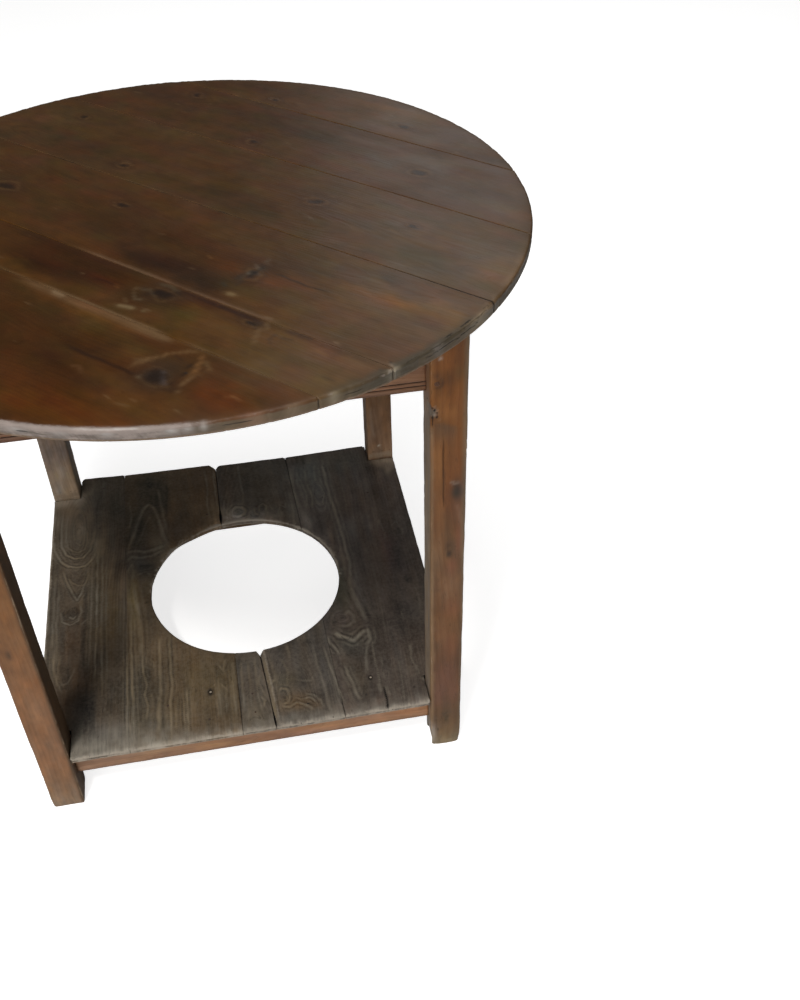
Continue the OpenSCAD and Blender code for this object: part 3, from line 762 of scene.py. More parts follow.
# wide areas over all the boards: (along, across, half length, half width, how much lighter, how much bluer)
TOP_LIGHT = [
    (112, -88, 52, 22, 0.78, 0.92), (165, -48, 34, 14, 0.82, 0.97), (270, -20, 60, 13, 0.88, 0.92), (282, 32, 44, 16, 1.14, 1.05), (190, -200, 26, 9, 1.25, 0.92), (342, -200, 18, 10, 1.14, 0.95),
    (336, -232, 20, 14, 0.78, 0.8), (216, -262, 26, 14, 0.78, 0.72), (180, -256, 22, 14, 0.85, 0.72), (100, -262, 26, 10, 0.88, 0.85), (98, -170, 26, 14, 0.74, 0.78), (262, -288, 26, 12, 1.15, 0.95), (110, -300, 34, 22, 0.82, 0.9),
    (318, -140, 38, 10, 0.84, 0.92), (300, -172, 30, 10, 0.88, 0.95), (345, -110, 20, 8, 1.1, 1.05), (262, -100, 22, 14, 1.1, 0.95), (10, -150, 60, 14, 1.05, 0.72), (160, -142, 70, 16, 0.95, 0.75), (60, -112, 34, 10, 0.8, 0.85),
    (384, 80, 16, 22, 1.06, 0.9), (150, -322, 44, 22, 0.85, 0.72),
    (288, -254, 36, 22, 0.80, 0.75), (402, -30, 12, 34, 1.25, 0.9), (180, -34, 18, 20, 0.88, 1.0), (142, -112, 24, 12, 0.85, 0.9), (-14, -172, 60, 16, 0.84, 0.8), (222, -138, 12, 8, 0.82, 0.85),
    (100, -232, 22, 12, 1.15, 1.15), (262, -140, 16, 10, 1.15, 0.95), (100, -160, 20, 16, 0.82, 0.95), (344, -74, 24, 18, 0.88, 1.05), (300, -112, 22, 12, 1.12, 1.05),
]


def top_fields(i, U, V, Z, X, Y, side, dist, rim):
    u, v = U / K, V / K
    zero = u * 0
    centre = [-330, -162, -48, 104, 242, 362][i]
    bent, near = around(u + 3 * nz(u, v, zero, 25, 8, 1, 401), v + 2.5 * nz(u, v, zero, 60, 14, 1, 402 + i), TOP_KNOTS[i])
    heart = centre + [40, -34, 52, -38, 30, -30][i]
    depth = 16 + 11 * np.sin(u / 150.0 + i * 1.9) + 5 * np.sin(u / 57.0 + i) - (Z - TOP_Z1) * 0.9
    phi = np.sqrt((bent - heart - 7 * np.sin(u / 140 + i * 2)) ** 2 + depth**2) / 4.2 + 0.35 * nz(u, v, zero, 90, 9, 1, 410 + i)
    phi = np.where(near < 1.0, near * 3.0 + 20, phi)
    top = side != 1
    col = np.broadcast_to(lin(*TOP_BASE[i]), (len(u), 3)).copy()
    wu = u + 9 * nz(u, v, zero, 50, 22, 1, 421) + 5 * nz(u, v, zero, 13, 7, 1, 423)
    wv = v + 4 * nz(u, v, zero, 40, 12, 1, 422) + 2.5 * nz(u, v, zero, 11, 6, 1, 424)
    for cx, cy, rx, ry, c, s in TOP_PATCH[i]:
        m = s * np.exp(-1.0 * (np.abs((wu - cx) / rx) ** 2.4 + np.abs((wv - cy) / ry) ** 2.2))
        col = mark(col, m, c)
    for cx, cy, rx, ry, more, blue in TOP_LIGHT:
        m = np.exp(-(np.abs((wu - cx) / rx) ** 2.6) - np.abs((wv - cy) / ry) ** 2.6)[:, None]
        col *= np.exp(m * np.array([math.log(more) - 0.25 * math.log(blue), math.log(more) + 0.05 * math.log(blue), math.log(more) + 0.75 * math.log(blue)])[None])
    amber = ((1 - step(u, 180, 330)) * (1 - step(v, -170, -50)))[:, None]
    col *= 1 + amber * np.array([0.00, -0.03, -0.34])[None]
    amber = ((1 - step(u, 130, 230)) * (1 - step(v, -250, -200)))[:, None]
    col *= 1 + amber * np.array([-0.02, -0.10, -0.20])[None]
    amber = ((1 - step(u, 220, 300)) * (1 - step(v, -80, -20)))[:, None]
    col *= 1 + amber * np.array([0.00, -0.02, -0.12])[None]
    # soft streaks along the grain and cloudy wax
    col *= (1 + 0.06 * nz(u, v, zero, 150, 9, 1, 430 + i, 3) + 0.16 * nz(u, v, zero, 42, 20, 1, 431) + 0.12 * nz(u, v, zero, 14, 9, 1, 433) + 0.06 * nz(u, v, zero, 6, 5, 1, 436))[:, None]
    warm = 0.10 * nz(u, v, zero, 50, 16, 1, 432) + 0.08 * nz(u, v, zero, 15, 10, 1, 434)
    col *= np.stack([1 + 0.8 * warm, 1 + 0.0 * warm, 1 - 2.0 * warm], 1)
    olive = 0.09 * nz(u, v, zero, 32, 18, 1, 435)
    col *= np.stack([1 - olive, 1 + olive, 1 - olive], 1)
    knot, rub, dirt_and_shade = zero.copy(), zero.copy(), zero.copy()
    for cx, cy, rx, ry in TOP_KNOTS[i]:
        d = np.hypot((wu - cx) / rx, (wv - cy) / ry)
        knot = np.maximum(knot, 0.8 * (1 - step(d, 0.35, 1.15)))
        col = mark(col, 0.55 * np.exp(-(((d - 1.6) / 0.7) ** 2)), (62, 40, 22))
        col = mark(col, 0.35 * np.exp(-(((d - 1.15) / 0.18) ** 2)), (104, 78, 48))
    pale = lambda *a: stroke(u + 2 * nz(u, v, zero, 9, 9, 1, 440), v + 1.2 * nz(u, v, zero, 9, 9, 1, 441), *a)
    if i == 0:
        # the filled joint, bold at its left
        m = np.exp(-((np.abs(v + 205.5) / 6.0) ** 2.4)) * step(u, -60, -5) * (1 - step(u, 172, 192)) * (0.75 + 0.35 * nz(u, v, zero, 25, 3, 1, 442))
        col = mark(col, m * 0.80, (108, 82, 54))
        col = mark(col, m * 0.7 * np.exp(-(((u - 66) / 30) ** 2)), (118, 80, 50))
        col = mark(col, m * 0.6 * np.exp(-(((u - 150) / 30) ** 2)), (122, 96, 66))
        col = mark(col, pale([(8, -203), (28, -205)], 4.0) * 0.9, (128, 104, 76))
        col = mark(col, pale([(100, -269), (200, -268)], 2.2) * 0.8, (46, 26, 12))
        dark = np.exp(-((np.abs((u - 216 + (v + 245) * 0.12) / 15) ** 2.2 + np.abs((v + 247) / 25) ** 2.6)))
        col = mark(col, dark * 0.75, (56, 40, 24))
        for pts, w, c, s in (
            ([(178, -262), (187, -240), (200, -219), (219, -203)], 2.6, (100, 72, 42), 0.8),
            ([(222, -205), (233, -218), (240, -235), (241, -252)], 2.4, (110, 76, 42), 0.8),
            ([(228, -222), (233, -245), (236, -268)], 1.6, (44, 28, 14), 0.9),
            ([(246, -226), (243, -250), (247, -270)], 1.6, (104, 78, 50), 0.7),
            # the grey stroke at the knot's right is a painted highlight
            ([(212, -248), (220, -258), (228, -266)], 2.2, (96, 84, 80), 0.7),
            ([(176, -250), (190, -241)], 3.0, (104, 78, 48), 0.6),
            ([(200, -268), (206, -262), (204, -256)], 2.4, (92, 74, 56), 0.5),
            ([(235, -213), (252, -226)], 2.6, (106, 80, 50), 0.55),
            ([(290, -250), (298, -243), (306, -247)], 1.4, (120, 80, 46), 0.6),
            ([(130, -292), (138, -288), (148, -296)], 2.4, (92, 62, 36), 0.55),
            ([(218, -297), (224, -299)], 1.6, (104, 74, 44), 0.6),
        ):
            col = mark(col, pale(pts, w) * s, c)
        knot = np.maximum(knot, 0.9 * np.exp(-(((u - 211) / 15.5) ** 2 + ((v + 260) / 12.5) ** 2) ** 1.3))
        col = mark(col, pale([(197, -271), (200, -268)], 2.2) * 0.7, (110, 92, 66))
        dirt_and_shade = np.maximum(dirt_and_shade, 0.8 * pale([(232, -232), (235, -262)], 1.0))
    if i in (0, 1):
        faint = np.exp(-(((v + 201 - (1.2 if i == 1 else -1.2)) / 1.8) ** 2)) * step(u, 180, 200) * (1 - step(u, 300, 330)) * (0.5 + 0.5 * nz(u, v, zero, 18, 3, 1, 443))
        col = mark(col, faint * 0.6, (104, 80, 54))
        left = np.exp(-(((v + 200.5) / 2.2) ** 2)) * (1 - step(u, -50, 0))
        col = mark(col, left * 0.4, (100, 78, 52))
    if i == 1:
        up = np.exp(-(((v + 200.0) / 2.2) ** 2)) * step(u, -40, 10) * (1 - step(u, 150, 180))
        col = mark(col, up * 0.80, (108, 84, 57))
        below = np.exp(-(((v + 130) / 3.4) ** 2)) * (0.3 + 0.7 * step(u, 110, 135) * (1 - step(u, 225, 245)))
        col = mark(col, below * 0.8, (42, 20, 10))
        for pts, w, c, s in (
            ([(84, -150), (96, -146), (108, -152)], 3.0, (84, 70, 52), 0.7),
            ([(82, -146), (81, -154), (86, -162)], 1.8, (100, 80, 56), 0.45),
            ([(88, -162), (96, -168), (104, -163)], 2.2, (94, 78, 56), 0.6),
            ([(88, -186), (98, -184), (107, -182)], 3.6, (116, 96, 66), 0.95),
            ([(117, -179), (124, -180)], 3.0, (100, 82, 54), 0.7),
            ([(84, -172), (92, -178)], 2.0, (98, 78, 50), 0.5),
            ([(96, -132), (112, -128), (124, -134)], 3.2, (88, 78, 58), 0.5),
            ([(240, -128), (247, -134), (244, -146), (250, -158), (254, -166)], 2.4, (106, 82, 54), 0.7),
            ([(262, -138), (264, -152), (272, -160)], 1.6, (62, 46, 30), 0.6),
            ([(270, -144), (284, -138)], 2.0, (60, 44, 28), 0.5),
            ([(268, -130), (280, -128), (302, -127)], 3.2, (60, 42, 28), 0.7),
            ([(310, -140), (330, -143)], 2.4, (118, 84, 52), 0.5),
            ([(384, -130), (392, -142), (398, -150)], 1.6, (40, 32, 24), 0.75),
            ([(26, -160), (46, -158), (60, -160)], 2.0, (46, 20, 8), 0.6),
            ([(58, -157), (64, -162)], 2.0, (98, 62, 30), 0.5),
        ):
            col = mark(col, pale(pts, w) * s, c)
        ol = np.exp(-(((u - 117) / 24) ** 2 + ((v + 144) / 12) ** 2))
        col = mark(col, ol * 0.7, (48, 36, 22))
        for pts, w in (([(96, -158), (104, -148), (112, -140)], 3.0), ([(130, -136), (122, -134)], 3.4), ([(226, -139), (240, -134)], 5.0)):
            col = mark(col, pale(pts, w) * 0.6, (46, 32, 20))
    if i == 2:
        light = np.exp(-(((v + 123.2) / 2.5) ** 2)) * (0.50 + 0.4 * nz(u, v, zero, 30, 3, 1, 444)) * step(u, -60, 0) * (1 - 0.8 * step(u, 228, 262))
        col = mark(col, light, (110, 84, 62))
        dirt_and_shade = np.maximum(dirt_and_shade, 0.75 * np.exp(-(((v + 124.6) / 1.1) ** 2)) * step(u, 262, 330) * (0.35 + 0.65 * step(u, 350, 380)) * (0.7 + 0.4 * nz(u, v, zero, 16, 3, 1, 448)))
        for pts, w, c, s in (
            ([(160, -26), (166, -38)], 2.4, (84, 72, 58), 0.6),
            ([(156, -44), (164, -50), (172, -46)], 2.2, (98, 84, 70), 0.65),
            ([(158, -56), (166, -62), (174, -58)], 2.2, (94, 80, 66), 0.65),
            ([(158, -84), (161, -68), (167, -54), (170, -40)], 5.0, (48, 40, 30), 0.6),
            ([(161, -65), (164, -60)], 2.6, (102, 94, 80), 0.6),
            ([(162, -40), (170, -52), (168, -62)], 2.6, (42, 32, 24), 0.7),
            ([(158, -70), (166, -80), (164, -92)], 3.0, (50, 42, 32), 0.6),
            ([(150, -90), (158, -98)], 3.2, (52, 46, 34), 0.6),
            ([(167, -106), (181, -105)], 3.4, (118, 96, 64), 0.95),
            ([(184, -47), (206, -48), (232, -50), (260, -46)], 1.4, (46, 34, 24), 0.75),
            ([(288, 12), (302, 6), (312, -4)], 4.0, (56, 44, 32), 0.5),
            ([(230, -120), (246, -119)], 2.0, (120, 96, 70), 0.6),
            ([(322, -118), (328, -119)], 1.6, (122, 98, 74), 0.7),
            ([(388, -120), (398, -123)], 2.2, (140, 124, 104), 0.8),
            ([(386, -116), (391, -121)], 1.2, (34, 28, 22), 0.8),
            ([(96, -57), (106, -60)], 1.5, (102, 70, 38), 0.6),
        ):
            col = mark(col, pale(pts, w) * s, c)
    if i in (2, 3):
        c = 31 / K
        line = np.exp(-(((v - c) / 1.5) ** 2)) * np.clip(0.55 + 0.5 * nz(u, v, zero, 24, 3, 1, 445) + 0.45 * step(u, 330, 365), 0, 1)
        dirt_and_shade = np.maximum(dirt_and_shade, 0.85 * line)
    if i >= 3:
        j = [TOP_JOINTS[i] / K, TOP_JOINTS[i + 1] / K]
        for c in j[:1]:
            line = np.exp(-(((v - c) / 1.4) ** 2)) * (0.45 + 0.5 * nz(u, v, zero, 34, 3, 1, 446))
            col = mark(col, line * 0.7, (98, 76, 52))
        if i < 5:
            dirt_and_shade = np.maximum(dirt_and_shade, 0.6 * np.exp(-(((v - j[1]) / 1.1) ** 2)) * (0.5 + 0.5 * nz(u, v, zero, 40, 3, 1, 447)))
    # scattered pale scratches and dents, all over
    seed = np.random.default_rng(100 + i)
    for _ in range(16):
        a, b = seed.uniform(-400, 400), seed.uniform(TOP_JOINTS[i] / K + 6, TOP_JOINTS[i + 1] / K - 6)
        if math.hypot(a, b) > 395:
            continue
        L, t = seed.uniform(4, 16), seed.uniform(-0.5, 0.5)
        s = seed.uniform(0.2, 0.5)
        c = (108, 84, 56) if seed.uniform() < 0.6 else (42, 26, 14)
        near_it = (np.abs(u - a) < L + 12) & (np.abs(v - b) < 14)
        m = np.zeros(len(u))
        m[near_it] = stroke(u[near_it], v[near_it], [(a - L / 2, b - t * L / 4), (a + L / 2, b + t * L / 4)], seed.uniform(0.8, 1.8)) * s
        col = mark(col, m, c)
    # toward the rim the wax is gone
    R = np.hypot(X, Y)
    ang = np.degrees(np.arctan2(Y, X))
    fade = np.exp(-(((TOP_R - R) / 9.0) ** 2))
    col = mark(col, fade * (0.35 - 0.30 * (1 - step(ang, -75, -60))) * top, (86, 66, 44))
    grey = 0.5 + 0.5 * nz(X, Y, Z, 60, 60, 40, 451)
    # the rubbed crust of the upper edge, palest at the front
    front = 1 - step(np.abs(ang + 124), 28, 40)
    back = 0.35 + 0.3 * nz(X, Y, zero, 120, 120, 1, 452)
    fleck = step(nz(X, Y, Z, 7, 7, 4, 458), 0.15, 0.5)
    amount = np.where(ang > 20, back + 0.1, 0.10 + 0.30 * fleck + 0.75 * front)
    edge_w = 2.6 + 2.2 * front + 1.2 * nz(X, Y, Z, 14, 14, 4, 453)
    rub = np.where(rim & top, np.exp(-((dist / edge_w) ** 2)) * (0.12 + 1.1 * amount), 0.0)
    # a worn dark band inside the rim at the right, with a broken line along it
    band = np.exp(-(np.abs((ang + 57) / 14.0) ** 3)) * top * rim
    col = mark(col, 0.85 * band * np.exp(-((dist / (8 + 2.5 * nz(X, Y, zero, 12, 12, 1, 459))) ** 4)), (68, 62, 50))
    tear = np.exp(-(((dist - 4.6 - 1.2 * nz(X, Y, zero, 16, 16, 1, 462)) / 1.2) ** 2)) * np.exp(-(((ang + 49) / 9.0) ** 4)) * step(nz(X, Y, zero, 11, 11, 1, 463), -0.5, 0.0)
    tear = np.maximum(tear, np.exp(-((dist - 3.0) / 1.0) ** 2) * np.exp(-(((ang + 38) / 4.0) ** 4)) * 0.6)
    # the far right of the edge is rubbed pale in patches
    right = np.exp(-(((ang + 36) / 11.0) ** 4)) * rim * top * (0.45 + 0.55 * nz(X, Y, zero, 26, 26, 1, 464))
    col = mark(col, right * np.exp(-((dist / 9.0) ** 4)), (132, 106, 80))
    wall = side == 2
    wallc = lin(96, 88, 82)[None] * front[:, None] + lin(88, 74, 54)[None] * (1 - front[:, None])
    w = (wall & rim).astype(float) * (0.75 + 0.25 * grey)
    col = col * (1 - w[:, None]) + wallc * w[:, None]
    rub = np.where(wall & rim, np.clip(0.10 + 0.48 * front + 0.32 * nz(X, Y, Z, 16, 16, 3, 454) + (0.12 + 0.33 * front) * step(Z, 742, 748), 0, 1.1), rub)
    dirt_and_shade = np.maximum(dirt_and_shade, tear * 0.85 * top * rim)
    # bright crust: a long line at the front, flakes elsewhere
    crust = np.exp(-(((ang + 101.5) / 6.5) ** 4)) * np.exp(-(((750 - Z) / 3.2) ** 2)) * np.exp(-((dist / 3.0) ** 2)) * (0.75 + 0.35 * nz(X, Y, Z, 8, 8, 3, 465))
    for a0, w, k in ((-101, 1.0, 0.45), (-93, 1.1, 0.5), (-91, 0.8, 0.4), (-107, 1.3, 0.35), (-113, 1.6, 0.4), (-89, 0.5, 0.4)):
        crust = np.maximum(crust, k * np.exp(-(((ang - a0) / w) ** 2)) * np.exp(-(((745 - Z) / 5) ** 2)))
    crust = np.clip(crust * rim * step(R, TOP_R - 6, TOP_R - 3), 0, 1)
    col = mark(col, crust * 0.95, (198, 193, 188))
    rub = rub * (1 - 0.95 * crust)
    for a0, w, k, c in ((-45.0, 3.0, 0.7, (148, 134, 112)), (-62.6, 0.9, 0.8, (160, 148, 128)), (-54.4, 1.0, 0.55, (116, 108, 100)), (-77.5, 1.2, 0.5, (126, 106, 84)), (-82.5, 1.6, 0.45, (132, 100, 78)), (-71.8, 0.8, 0.6, (136, 124, 102))):
        m = k * rim * np.exp(-(((ang - a0) / w) ** 2)) * np.exp(-((dist / 2.6) ** 2)) * (top | (Z > 745))
        col = mark(col, m, c)
    here = wall & rim & (Z < 748.5)
    col = mark(col, here * 0.6 * np.exp(-(((ang + 63.5) / 5.5) ** 4)), (60, 55, 44))
    split = np.exp(-(((Z - 741.5 - 1.2 * nz(X, Y, zero, 16, 16, 1, 455)) / 0.9) ** 2)) * wall * step(nz(X, Y, zero, 50, 50, 1, 456), 0.05, 0.4)
    here = wall & (ang > -57) & (ang < -45.5)
    split = np.maximum(split, np.exp(-(((Z - 743.5 - 1.5 * nz(X, Y, zero, 9, 9, 1, 457)) / 1.0) ** 2)) * here)
    dirt_and_shade = np.maximum(dirt_and_shade, split * 0.9)
    jointwall = (~rim) & wall
    filled = joint_fill(U, V)
    dirt_and_shade = np.maximum(dirt_and_shade, jointwall * 0.8 * (1 - 0.9 * filled))
    dirt_and_shade = np.maximum(dirt_and_shade, np.where(~rim & top, np.exp(-((dist / 0.5) ** 2)) * 0.35 * (1 - filled), 0))
    # where the filler has shrunk a thin broken line is left
    broken = step(nz(U, V, zero, 22, 22, 1, 466), -0.35, 0.25)
    thin = 0.32 * np.exp(-(((V + 209.5) / 0.9) ** 2)) * step(U, 185, 205) + 0.46 * np.exp(-(((V + 130.5) / 1.0) ** 2)) * step(U, 245, 265)
    dirt_and_shade = np.maximum(dirt_and_shade, thin * (0.35 + 0.65 * broken) * top)
    # the upper edge at the right is torn, with dirt in the tear
    ragged = 1.2 + 0.9 * nz(X, Y, zero, 7, 7, 1, 467)
    torn = np.exp(-(((dist - ragged) / 0.9) ** 2)) * np.exp(-(((ang + 49) / 21.0) ** 6)) * step(nz(X, Y, zero, 13, 13, 1, 468), -0.45, 0.05)
    dirt_and_shade = np.maximum(dirt_and_shade, 0.62 * torn * rim * (top | (Z > 748.5)))
    # the underside never had wax
    under = side == 1
    raw = lin(112, 90, 66)[None] * (1 + 0.18 * nz(u, v, zero, 150, 9, 1, 460 + i, 3)[:, None])
    col = np.where(under[:, None], raw, col)
    knot = np.where(under, knot * 0.5, knot)
    wax = np.where(top, 0.75 + 0.35 * nz(u, v, zero, 60, 30, 1, 461) - 0.5 * fade, -0.8)
    dust = np.where(under, 0.25, 0.0)
    return fields(phi, U, Z, col, knot=knot, rub=rub, dirt_and_shade=dirt_and_shade, wax=wax, ringy=np.where(under, 1.6, (1 - 0.5 * step(u, 150, 250)) * (1 + 0.5 * nz(u, v, zero, 60, 22, 1, 466))), dust=dust)


# ------------------------------------------------------------------ the shelf
HALF, INNER, FRONT_Y, NOTCH = 299.0, 254.0, -303.0, 253.0
HOLE, HOLE_R = (12.7, -9.5), 148.0
SHELF_Z0, SHELF_Z1 = 101.0, 112.0
J_LEFT, J_MID, J_SPLIT, J_RIGHT = (-172, -179), (-15, -18), (32, 21), (130, 107)


def jx(j, y):
    return j[0] + (j[1] - j[0]) * (y - FRONT_Y) / (HALF + 4 - FRONT_Y)


def shelf_polys():
    hy, hr, h, n, fy = HOLE[1], HOLE_R, HALF, NOTCH, FRONT_Y
    return {
        "shelf_board_left": [(-h, -n), (-n, -n), (-n, fy), (J_LEFT[0], fy), (jx(J_LEFT, h + 4), h + 4), (-n + 4, h + 8), (-n, h + 3), (-n, n), (-h, n)],
        "shelf_board_left_centre": [(J_LEFT[0], fy), (J_MID[0], fy), (jx(J_MID, h - 15), h - 15), (jx(J_MID, h) - 7, h - 3), (jx(J_MID, h) - 11, h + 1), (jx(J_LEFT, h + 3), h + 3)],
        "shelf_board_rear_centre": [(jx(J_MID, hy), hy), (jx(J_RIGHT, hy), hy), (jx(J_RIGHT, h - 8), h - 8), (jx(J_RIGHT, h) - 3, h - 4), (jx(J_MID, h) + 8, h - 4), (jx(J_MID, h) + 4, h - 6), (jx(J_MID, h - 15), h - 15)],
        "shelf_board_front_narrow": [(J_MID[0], fy), (J_SPLIT[0], fy), (J_SPLIT[1], hy - hr - 10), (J_SPLIT[1] - 6, hy - hr + 2), (J_SPLIT[1] - 8, hy), (jx(J_MID, hy), hy)],
        "shelf_board_front_wide": [(J_SPLIT[0], fy), (J_RIGHT[0], fy), (jx(J_RIGHT, hy), hy), (J_SPLIT[1] + 8, hy), (J_SPLIT[1] + 6, hy - hr + 2), (J_SPLIT[1], hy - hr - 10)],
        "shelf_board_right": [(J_RIGHT[0], fy), (n, fy + 1), (n, -n), (h, -n), (h, n), (n, n), (n, h - 6), (n - 4, h - 1), (jx(J_RIGHT, h) + 3, h - 5), (jx(J_RIGHT, h - 8), h - 8)],
    }


def edge_kind(out):
    """The kind of each outline point: 0 joint, 1 hole, 2 front, 3 back, 4 side, 5 notch."""
    x, y = out[:, 0], out[:, 1]
    kind = np.zeros(len(out), int)
    kind[np.abs(np.hypot(x - HOLE[0], y - HOLE[1]) - HOLE_R) < 0.6] = 1
    kind[y < FRONT_Y + 1.6] = 2
    kind[y > HALF - 8] = 3
    kind[np.abs(x) > HALF - 0.5] = 4
    kind[(np.abs(np.abs(x) - NOTCH) < 0.5) & (np.abs(y) > NOTCH - 0.5) & (y < HALF)] = 5
    kind[(np.abs(np.abs(y) - NOTCH) < 0.5) & (np.abs(x) > NOTCH - 0.5)] = 5
    return kind


def shelf_extra(name):
    """More points where drawn lines run across the grain."""
    pts = []
    for line, w, s in SHELF_LINES[name] + SHELF_DARKS[name]:
        p = np.array(line, float) * K
        for a, b in zip(p[:-1], p[1:]):
            L = np.linalg.norm(b - a)
            if L < 1e-6 or abs(b[0] - a[0]) < 0.35 * L:
                continue
            n = np.array([-(b - a)[1], (b - a)[0]]) / L
            for k in range(int(L / 1.8) + 1):
                q = a + (b - a) * (k * 1.8 / L)
                for o in (-4.2, -2.8, -1.4, 0, 1.4, 2.8, 4.2):
                    pts.append(q + n * o)
    if not pts:
        return None
    pts = np.array(pts)
    cell = np.round(pts / 1.2).astype(int)
    _, first = np.unique(cell, axis=0, return_index=True)
    return pts[first]


def build_shelf():
    for s, (name, poly) in enumerate(shelf_polys().items()):
        out = clip_circle(poly, HOLE, HOLE_R, 2.2)
        if area(out) < 0:
            out = out[::-1]
        kind = edge_kind(out)
        n = len(out)
        t = np.roll(out, -1, 0) - np.roll(out, 1, 0)
        t /= np.linalg.norm(t, axis=1, keepdims=True)
        inward = np.stack([-t[:, 1], t[:, 0]], 1)
        ox, oy, oz = out[:, 0], out[:, 1], np.full(n, s * 7.0)
        rough = 0.5 + 0.5 * nz(ox, oy, oz, 14, 14, 5, 71)
        small = 0.5 + 0.5 * nz(ox, oy, oz, 4, 4, 5, 72)
        wide = 0.14 + 0.12 * nz(ox, oy, oz, 60, 60, 5, 77)
        wide = np.where((ox / K < -150) | ((oy < -140) & ((ox / K < 0) | (ox / K > 60))), 0.05, wide)
        wide = wide + 0.8 * bell(ox / K, -16.5, 4) * bell(oy / K, 147, 14) + 0.2 * (np.abs(ox / K + 16) < 5) * (oy > 140)
        wide = wide + 0.3 * (np.abs(ox / K - 104) < 6) * bell(oy / K, 262, 26) + 0.6 * bell(ox / K, 122, 8) * bell(oy / K, -280, 12)
        wide = wide + 0.25 * (np.abs(ox / K - 26) < 9) * (oy < -170) + 0.5 * bell(ox / K, 28, 6) * bell(oy / K, -280, 10)
        wide = np.clip(wide, 0.05, 3)
        pull = np.choose(kind, [wide, 0.9 * rough * small + 0.05, 1.3 * rough * small + 0.1, 0.9 * rough, 0.8 * rough, 0.1 + 0 * ox])
        # the hole was sawn a little aslant at its rear left, is bitten out at its left and still crisp in front
        round_hole = np.degrees(np.arctan2(oy - HOLE[1], ox - HOLE[0])) % 360
        slant = np.where(kind == 1, 6.2 * np.exp(-(((round_hole - 147) / 22.0) ** 4)), 0.0)
        crisp = np.where(kind == 1, np.exp(-(((round_hole - 284) / 44.0) ** 4)), 0.0)
        pull = pull * (1 - 0.8 * crisp) + np.where(kind == 1, 2.0 * bell(round_hole, 181, 15), 0.0)
        out = out + inward * pull[:, None]
        r_top = np.choose(kind, [0.7, 2.4, 4.6, 2.6, 3.0, 0.8]) - 1.4 * crisp
        r_top = np.where((kind == 0) & (ox / K < -150), 0.2, r_top)
        r_bot = np.choose(kind, [0.5, 1.2, 1.6, 1.2, 1.2, 0.5]) + 0 * ox
        upper = plate_mesh(out, 1.4, 3.4, (0.35, 0.8, 1.5, 2.5, 3.8, 5.5), shelf_extra(name))
        lower = plate_mesh(out + inward * slant[:, None], 7.0, 16.0, (0.8, 2.0, 5.0))
        pts, tri, d, near = upper
        x, y = pts[:, 0], pts[:, 1]
        k = kind[near]
        phi, extra = shelf_grain(name, x, y, SHELF_Z1)
        fr = phi - np.floor(phi)
        late = step(fr, 0.30, 0.80) * (1 - step(fr, 0.90, 1.0))
        light, dark = shelf_marks(name, x / K, y / K)
        raised = extra["ringy"] * late * 0.32 + 0.45 * np.clip(light, 0, 1) - 0.55 * np.clip(dark, 0, 1)
        wear = np.where(k == 2, np.exp(-((d / 9.0) ** 2)), np.where(k == 1, np.exp(-((d / 5.0) ** 2)) * (1 - 0.8 * crisp[near]), 0))
        lumps = (0.5 + 0.5 * nz(x, y, x * 0, 6, 7, 1, 73)) * wear * 0.8
        relief = np.clip(0.6 - raised + lumps + 0.25 * nz(x, y, x * 0, 30, 160, 1, 74), 0.0, 6)

        def wall(w, lv):
            r = 0.25 * nz(w[:, 0], w[:, 1], w[:, 2], 10, 10, 3, 75) + 0.25 * nz(w[:, 0], w[:, 1], w[:, 2], 3, 3, 2, 76)
            return np.where(kind == 0, -np.maximum(wide - 0.04, 0) * (0.5 if lv == 1 else 1.0), np.clip(0.15 + r, -0.2, 1.0) + slant * lv / 5)

        verts, tris, quads, side, dist, nearest = plate_solid(upper, lower, n, r_top, r_bot, SHELF_Z0, SHELF_Z1, 5, relief, 0.05, wall)
        f = shelf_fields(name, verts, side, dist, kind[nearest])
        make(name + "_wood", verts, tris, quads, f, [MAT_SHELF], [name])


def profile(y, table):
    t = np.array(sorted(table), float)
    return np.interp(y, t[:, 0], t[:, 1])


SHELF_PITH = {
    "shelf_board_left": (-245, 4.0, [(-300, 35), (5, 34), (42, 30), (62, 26), (78, 22), (88, 18), (100, 14), (112, 10), (125, 6), (165, 2), (215, 12), (235, 18), (260, 24), (300, 30)]),
    "shelf_board_left_centre": (-125, 5.0, [(-300, 10), (0, 12), (60, 14), (100, 20), (150, 30), (197, 40), (290, 60)]),
    "shelf_board_rear_centre": (40, 5.6, [(100, 30), (150, 22), (200, 30), (290, 52)]),
    "shelf_board_front_narrow": (4, 5.0, [(-300, 20), (-150, 34)]),
    "shelf_board_front_wide": (62, 4.6, [(-300, 4), (-262, 2), (-235, 10), (-200, 20), (-150, 32)]),
    "shelf_board_right": (148, 5.0, [(-300, 34), (-200, 24), (-140, 17), (-100, 13), (-60, 19), (20, 24), (100, 21), (140, 12), (175, 3), (205, 12), (240, 18), (300, 28)]),
}
# knots and eyes: (x, y, half width, half length)
SHELF_KNOTS = {
    "shelf_board_left": [(-248, -22, 7, 11), (-255, -150, 6, 15)],
    "shelf_board_left_centre": [(-140, 56, 17, 9)],
    "shelf_board_rear_centre": [(12, 155, 8, 8), (52, 158, 4, 9), (84, 152, 4, 9)],
    "shelf_board_front_narrow": [(-40, -214, 2, 2)],
    "shelf_board_front_wide": [(46, -245, 6, 8), (80, -262, 5, 7), (96, -250, 4, 5)],
    "shelf_board_right": [(146, -112, 14, 11)],
}


